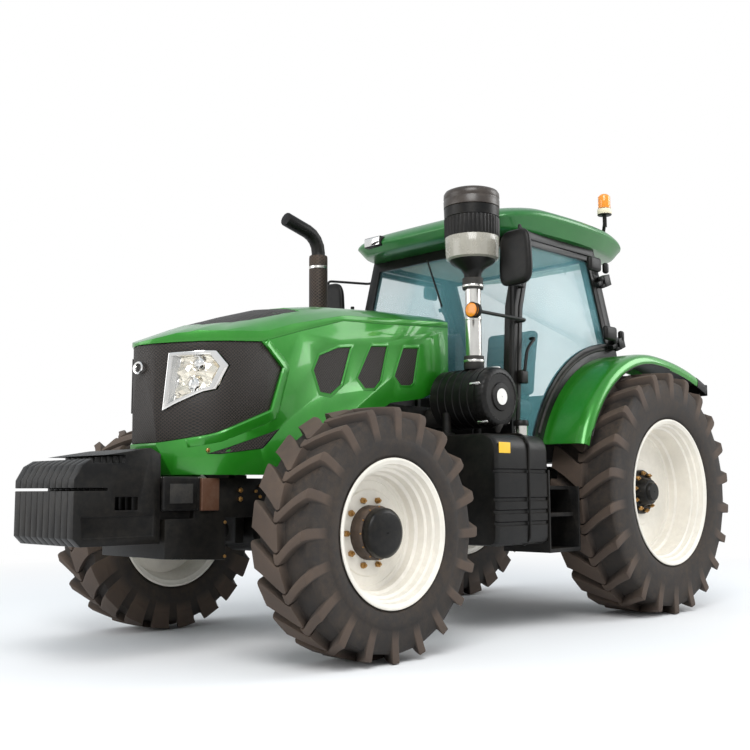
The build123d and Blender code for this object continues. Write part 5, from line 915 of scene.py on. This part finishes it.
# ================================================================ fenders
# Pressed steel fenders over the rear wheels, bolted to the cab. The skin rolls over at its outer
# edge into a deep lip, a rubber flare runs along the lip, and the tail carries the lamps.
ARC = 0.985
STEP_IN_X = -1.62
FLARE_DEPTH = 0.078
FENDER_PATH = []
for step in range(31):
    angle = radians(19 + 71 * step / 30)
    FENDER_PATH.append((REAR_X + ARC * cos(angle), REAR_WHEEL[2] + ARC * sin(angle), cos(angle), sin(angle)))
crest, knee, tail = Vector((REAR_X, 1.825)), Vector((REAR_X - 0.43, 1.815)), Vector((REAR_X - 0.8, 1.665))
for step in range(1, 17):
    t = step / 16
    spot = crest * (1 - t) ** 2 + knee * 2 * t * (1 - t) + tail * t * t
    run = (knee - crest) * (1 - t) + (tail - knee) * t
    run.normalize()
    FENDER_PATH.append((spot.x, spot.y, run.y, -run.x))
for hand, side in (("left", 1), ("right", -1)):
    rings = []
    for index, (x, z, nx, nz) in enumerate(FENDER_PATH):
        inner = 0.7215 if x > STEP_IN_X else 0.66
        drop = 0.075 if x > STEP_IN_X else 0.085
        deep = drop * min(1.0, (index + 2) / 6)
        profile = [(inner, 0.0), (0.84, 0.0), (0.96, -0.002), (1.01, -0.008), (1.035, -0.02),
                (1.047, -0.038), (1.05, -0.06), (1.05, -deep), (1.046, -deep - 0.004), (1.041, -deep),
                (1.039, -0.052), (1.026, -0.032), (1.004, -0.02), (0.95, -0.014), (inner + 0.012, -0.012)]
        if x <= STEP_IN_X:
            profile += [(inner + 0.012, -0.07), (inner, -0.07)]
        else:
            profile += [(inner + 0.006, -0.013), (inner, -0.013)]
        rings.append([(x + nx * d, side * y, z + nz * d) for y, d in profile])
    shell = skinned(f"fender_{hand}", rings, "body_green", angle=50)
    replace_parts(shell, "fenders")
    # a thin black skin under each fender and over the inner face of its lip: painted shade where the fender
    # hangs over the wheel
    rings = []
    for x, z, nx, nz in FENDER_PATH[1:]:
        inner = 0.735 if x > STEP_IN_X else 0.674
        under = [(inner, -0.0135), (0.95, -0.0155), (1.003, -0.0215), (1.025, -0.0335), (1.037, -0.053),
                (1.0385, -0.066), (1.0375, -0.066), (1.036, -0.0535), (1.024, -0.0345), (1.002, -0.0225),
                (0.95, -0.0165), (inner, -0.0145)]
        rings.append([(x + nx * d, side * y, z + nz * d) for y, d in under])
    skinned(f"fender_underside_shade_{hand}", rings, "chassis_black")
    rings = []
    for x, z, nx, nz in FENDER_PATH[-4:]:
        cap = [(0.655, 0.002), (0.96, 0.001), (1.012, -0.005), (1.037, -0.018), (1.05, -0.037),
                (1.053, -0.06), (1.053, -0.09), (1.049, -0.093), (1.046, -0.09), (1.046, -0.06),
                (1.043, -0.04), (1.03, -0.024), (1.008, -0.013), (0.96, -0.007), (0.655, -0.006)]
        rings.append([(x + nx * d, side * y, z + nz * d) for y, d in cap])
    skinned(f"fender_tail_trim_{hand}", rings, "black_plastic")
    flare = [(x - nx * FLARE_DEPTH, side * 1.044, z - nz * FLARE_DEPTH) for x, z, nx, nz in FENDER_PATH[2::3]]
    piped(f"fender_flare_{hand}", flare, 0.0055, "black_rubber")
    side_box(f"fender_tail_{hand}", side, (-2.206, -2.19), 0.855, 0.19, (1.57, 1.655), "black_plastic", 0.006)
    side_box(f"tail_lamp_frame_{hand}", side, (-2.208, -2.204), 0.9, 0.095, (1.57, 1.655), "black_plastic",
            0.0015)

# ================================================================ mirrors
# Black moulded housings with silvered glass, on bent tubes that clamp to the front posts of the
# cab. The right one stands a little lower and further back.
MIRROR_FOOT_X = -0.317
MIRROR_MIDDLE_Y = 0.968
MIRROR_RISE = 0.168
for hand, side, x, z in (("left", 1, 0.116, 2.13), ("right", -1, -0.116, 2.1)):
    rings = []
    for out, share in ((-0.026, 0.8), (-0.02, 0.92), (-0.006, 0.99), (0.01, 1.0), (0.02, 0.93),
            (0.026, 0.75)):
        ring = []
        for step in range(40):
            angle = 2 * pi * step / 40
            squared = (copysign(abs(cos(angle)) ** 0.45, cos(angle)),
                       copysign(abs(sin(angle)) ** 0.5, sin(angle)))
            ring.append((x + out + 0.012 * squared[0],
                    side * (MIRROR_MIDDLE_Y + 0.128 * share * squared[0] * (1 - 0.06 * squared[1])),
                    z + MIRROR_RISE + 0.175 * share * squared[1]))
        rings.append(ring)
    housing = skinned(f"mirror_{hand}", rings, "black_plastic", angle=70)
    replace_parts(housing, "mirrors")
    pane = []
    for back, share in ((0.0, 0.9), (-0.0015, 0.88)):
        pane.append([(x - 0.0265 + back, side * MIRROR_MIDDLE_Y + (spot[1] - side * MIRROR_MIDDLE_Y) * share,
                      z + MIRROR_RISE + (spot[2] - z - MIRROR_RISE) * share) for spot in rings[0]])
    skinned(f"mirror_glass_{hand}", pane, "mirror_face")
    piped(f"mirror_arm_{hand}", [(MIRROR_FOOT_X, side * 0.722, z + 0.345),
            (MIRROR_FOOT_X, side * 0.765, z + 0.345), (x - 0.05, side * 0.97, z + 0.372),
            (x, side * 1.0, z + 0.372), (x, side * 1.0, z + 0.31)], 0.0095, "black_plastic")

# ================================================================ cab outside
# Moulded covers hide the door hinges, and a bent tube with a cream seat carries the beacon. Two
# work lamps are let into the roof's front edge, and a black ring holds each turn lamp.
HINGE_COVER_LENGTH = 0.15
LAMP_RING = 0.0465
for hand, side in (("left", 1), ("right", -1)):
    for label, height in (("low", 1.985), ("high", 2.47)):
        # the rear post leans forward as it rises, and the hinges follow it
        post = -1.405 + (height - 1.864) * 0.382
        side_box(f"hinge_cover_{label}_{hand}", side, (post + 0.032, post + HINGE_COVER_LENGTH + 0.032),
                0.784, 0.022, (height - 0.052, height + 0.052), "black_plastic", 0.022, f"door_{hand}")
        side_box(f"hinge_post_{label}_{hand}", side, (post - 0.1, post - 0.052), 0.765, 0.02,
                (height - 0.04, height + 0.04), "black_plastic", 0.018)
    piped(f"turn_lamp_ring_{hand}", [(0.352, side * 0.8 + LAMP_RING * cos(a * pi / 8),
            1.96 + LAMP_RING * sin(a * pi / 8)) for a in range(17)], 0.0045, "black_plastic")
piped("beacon_tube", [(-1.3, 0.74, 2.885), (-1.3, 0.74, 2.83), (-1.34, 0.7, 2.76), (-1.34, 0.68, 2.72)],
        0.013, "black_plastic")
stood("beacon_seat", [(2.882, 0.003), (2.882, 0.046), (2.89, 0.052), (2.924, 0.0525), (2.93, 0.049),
        (2.93, 0.003)], "white_plastic", at=(-1.3, 0.74), segments=48,
        look=finished("beacon_cream", (0.75, 0.68, 0.5), 0.45, dust=0.1))
for hand, side in (("left", 1), ("right", -1)):
    side_box(f"work_lamp_body_{hand}", side, (-0.13, -0.04), 0.445, 0.085, (2.635, 2.71), "black_plastic",
            0.012)
    side_box(f"work_lamp_glass_{hand}", side, (-0.0395, -0.035), 0.445, 0.075, (2.643, 2.702), "lamp_clear",
            0.002, look=slots["chrome"])

# ================================================================ front frame
# The cast front frame between hood and axle, with its bolts, a rust-coloured casting by the
# radiator, the weight bracket with a thin black sheet on its face as painted shade for its pocket,
# and the latch in the hood's chin.
for hand, side in (("left", 1), ("right", -1)):
    side_box(f"frame_casting_{hand}", side, (1.885, 2.0), 0.306, 0.012, (0.76, 0.93), "chassis_brown", 0.006)
    side_box(f"weight_bracket_{hand}", side, (2.02, 2.24), 0.308, 0.014, (0.762, 0.938), "chassis_black",
            0.012)
    # a thin black sheet on the bracket's outer face: painted shade in place of the pocket's recess
    side_box(f"bracket_pocket_shade_sheet_{hand}", side, (2.06, 2.2), 0.3235, 0.002, (0.8, 0.9), "black_rubber", 0.001)
    for name, middle, out, pitch_radius, places, size, body in (
            ("frame_bolts", (1.737, 0.842), 0.3, 0.024, (pi / 2, -pi / 2), (0.014, 0.014), "chassis"),
            ("rail_bolts", (1.6, 0.86), 0.3, 0.03, (pi / 2, -pi / 2, 0), (0.01, 0.01), "chassis"),
            ("box_bolts", (1.837, 0.608), 0.3, 0.089, (pi / 2, -pi / 2), (0.009, 0.009), "chassis"),
            ("chin_latch", (1.965, 1.075), skin_y(1.965) - 0.004, 0.0, (0.0,), (0.013, 0.01), "hood")):
        nut_ring(f"{name}_{hand}", middle, out, pitch_radius, places, *size, side, body)

# ================================================================ grille ring
# A small plated ring stands proud on the middle of the nose, between the lamps. It is a little
# wider than it is high, and its face is blank.
turned("grille_ring", [(0.0, 0.03), (0.006, 0.034), (0.01, 0.031), (0.008, 0.024), (0.0, 0.022)],
       lambda out, u, v: (2.1925 + out, 1.35 * u, 1.52 + v), "chrome", "hood", 40)

# ================================================================ exhaust shield
# A perforated steel sheet, rolled round the upright pipe as a guard and clipped on. The heat has
# browned it.
EXHAUST = (0.26, -0.7)
guard = finished("heat_guard", (0.05, 0.036, 0.028), 0.5, metallic=0.4, dust=0.3, grain=0.2,
        dust_colour=(0.16, 0.1, 0.06))
recoloured(guard, pierced(guard, 42.0, (0.004, 0.0035, 0.003), (0.06, 0.042, 0.032))[1])
stood("exhaust_guard", [(1.475, 0.0655), (1.48, 0.0675), (2.54, 0.0675), (2.552, 0.066), (2.556, 0.0655)],
        "chassis_black", at=EXHAUST, segments=64, look=guard)
for index, height in enumerate((1.9, 2.46)):
    stood(f"exhaust_clip_{index}", [(height, 0.0676), (height + 0.002, 0.0695), (height + 0.018, 0.0695),
            (height + 0.02, 0.0676)], "steel", at=EXHAUST, segments=64)

# ================================================================ stage and light
# A pale floor and a plain surround. The camera sees white, and paint sees a soft pale sky with
# a darker ground.
floor_mesh = bpy.data.meshes.new("floor")
floor_mesh.from_pydata([(-60, -60, 0), (60, -60, 0), (60, 60, 0), (-60, 60, 0)], [], [(0, 1, 2, 3)])
floor = bpy.data.objects.new("floor", floor_mesh)
scene.collection.objects.link(floor)
floor_finish = bpy.data.materials.new("floor")
floor_finish.use_nodes = True
floor_tree = floor_finish.node_tree
floor_shader = floor_tree.nodes["Principled BSDF"]
floor_shader.inputs["Base Color"].default_value = (0.86, 0.86, 0.86, 1)
floor_shader.inputs["Roughness"].default_value = 0.9
floor_shader.inputs["Specular IOR Level"].default_value = 0.1
away = joined(floor_tree, "VectorMath", {"operation": "LENGTH"},
              i0=joined(floor_tree, "TexCoord").outputs["Object"]).outputs[1]
far = ranged(floor_tree, away, 3.4, 7.5)
white = joined(floor_tree, "Emission", Color=(1, 1, 1, 1), Strength=1.0)
faded = joined(floor_tree, "MixShader", i0=far, i1=floor_shader.outputs[0], i2=white.outputs[0])
floor_tree.links.new(faded.outputs[0], floor_tree.nodes["Material Output"].inputs["Surface"])
floor_mesh.materials.append(floor_finish)

world = bpy.data.worlds.new("surround")
scene.world = world
world.use_nodes = True
tree = world.node_tree
tree.nodes.clear()
rays = joined(tree, "LightPath").outputs
toward = joined(tree, "TexCoord").outputs["Generated"]
height = joined(tree, "SeparateXYZ", Vector=toward).outputs["Z"]
sky = joined(tree, "ValToRGB", Fac=ranged(tree, height, -0.2, 1.0))
ramp = sky.color_ramp
ramp.elements[0].position = 0.12
ramp.elements[0].color = (0.42, 0.4, 0.37, 1)
ramp.elements[1].position = 1.0
ramp.elements[1].color = (0.85, 0.93, 1.0, 1)
haze = ramp.elements.new(0.2)
haze.color = (0.95, 0.96, 0.97, 1)
around = joined(tree, "Background", Color=sky.outputs["Color"], Strength=0.85)
behind = joined(tree, "Background", Color=(1, 1, 1, 1), Strength=1.0)
shown = joined(tree, "MixShader", i0=rays["Is Camera Ray"], i1=around.outputs[0], i2=behind.outputs[0])
tree.links.new(shown.outputs[0], joined(tree, "OutputWorld").inputs["Surface"])

for name, spot, aim, size, power in (
        ("key", (6.0, 5.5, 8.0), (0.2, 0.2, 1.2), 5.0, 620.0),
        ("fill", (7.5, -4.0, 3.5), (0.5, 0.0, 1.0), 5.0, 160.0),
        ("rim", (-6.0, 5.0, 5.0), (-0.5, 0.0, 1.5), 4.0, 240.0)):
    light = bpy.data.lights.new(name, "AREA")
    light.size = size
    light.energy = power
    lamp = bpy.data.objects.new(name, light)
    lamp.location = spot
    lamp.rotation_euler = (Vector(aim) - Vector(spot)).to_track_quat("-Z", "Y").to_euler()
    scene.collection.objects.link(lamp)

# ================================================================ camera
# Low by the left front corner, at the height of the wheels' upper halves and tilted up a little,
# so that the nose is nearest.
CAMERA_PLACE = (5.171, 4.709, 0.865)
CAMERA_YAW = -2.364
CAMERA_PITCH = 0.112
CAMERA_ROLL = -0.005
lens = bpy.data.cameras.new("camera")
lens.sensor_width = 36.0
lens.lens = 48.93
camera = bpy.data.objects.new("camera", lens)
ahead = Vector((cos(CAMERA_PITCH) * cos(CAMERA_YAW), cos(CAMERA_PITCH) * sin(CAMERA_YAW), sin(CAMERA_PITCH)))
turned = ahead.to_track_quat("-Z", "Y").to_matrix().to_4x4() @ Matrix.Rotation(CAMERA_ROLL, 4, "Z")
camera.matrix_world = Matrix.Translation(CAMERA_PLACE) @ turned
scene.collection.objects.link(camera)
scene.camera = camera

scene.render.engine = "CYCLES"
scene.cycles.samples = 96
scene.cycles.use_denoising = True
scene.cycles.transparent_max_bounces = 12
scene.render.resolution_x = 1024
scene.render.resolution_y = 1024
scene.view_settings.view_transform = "Standard"
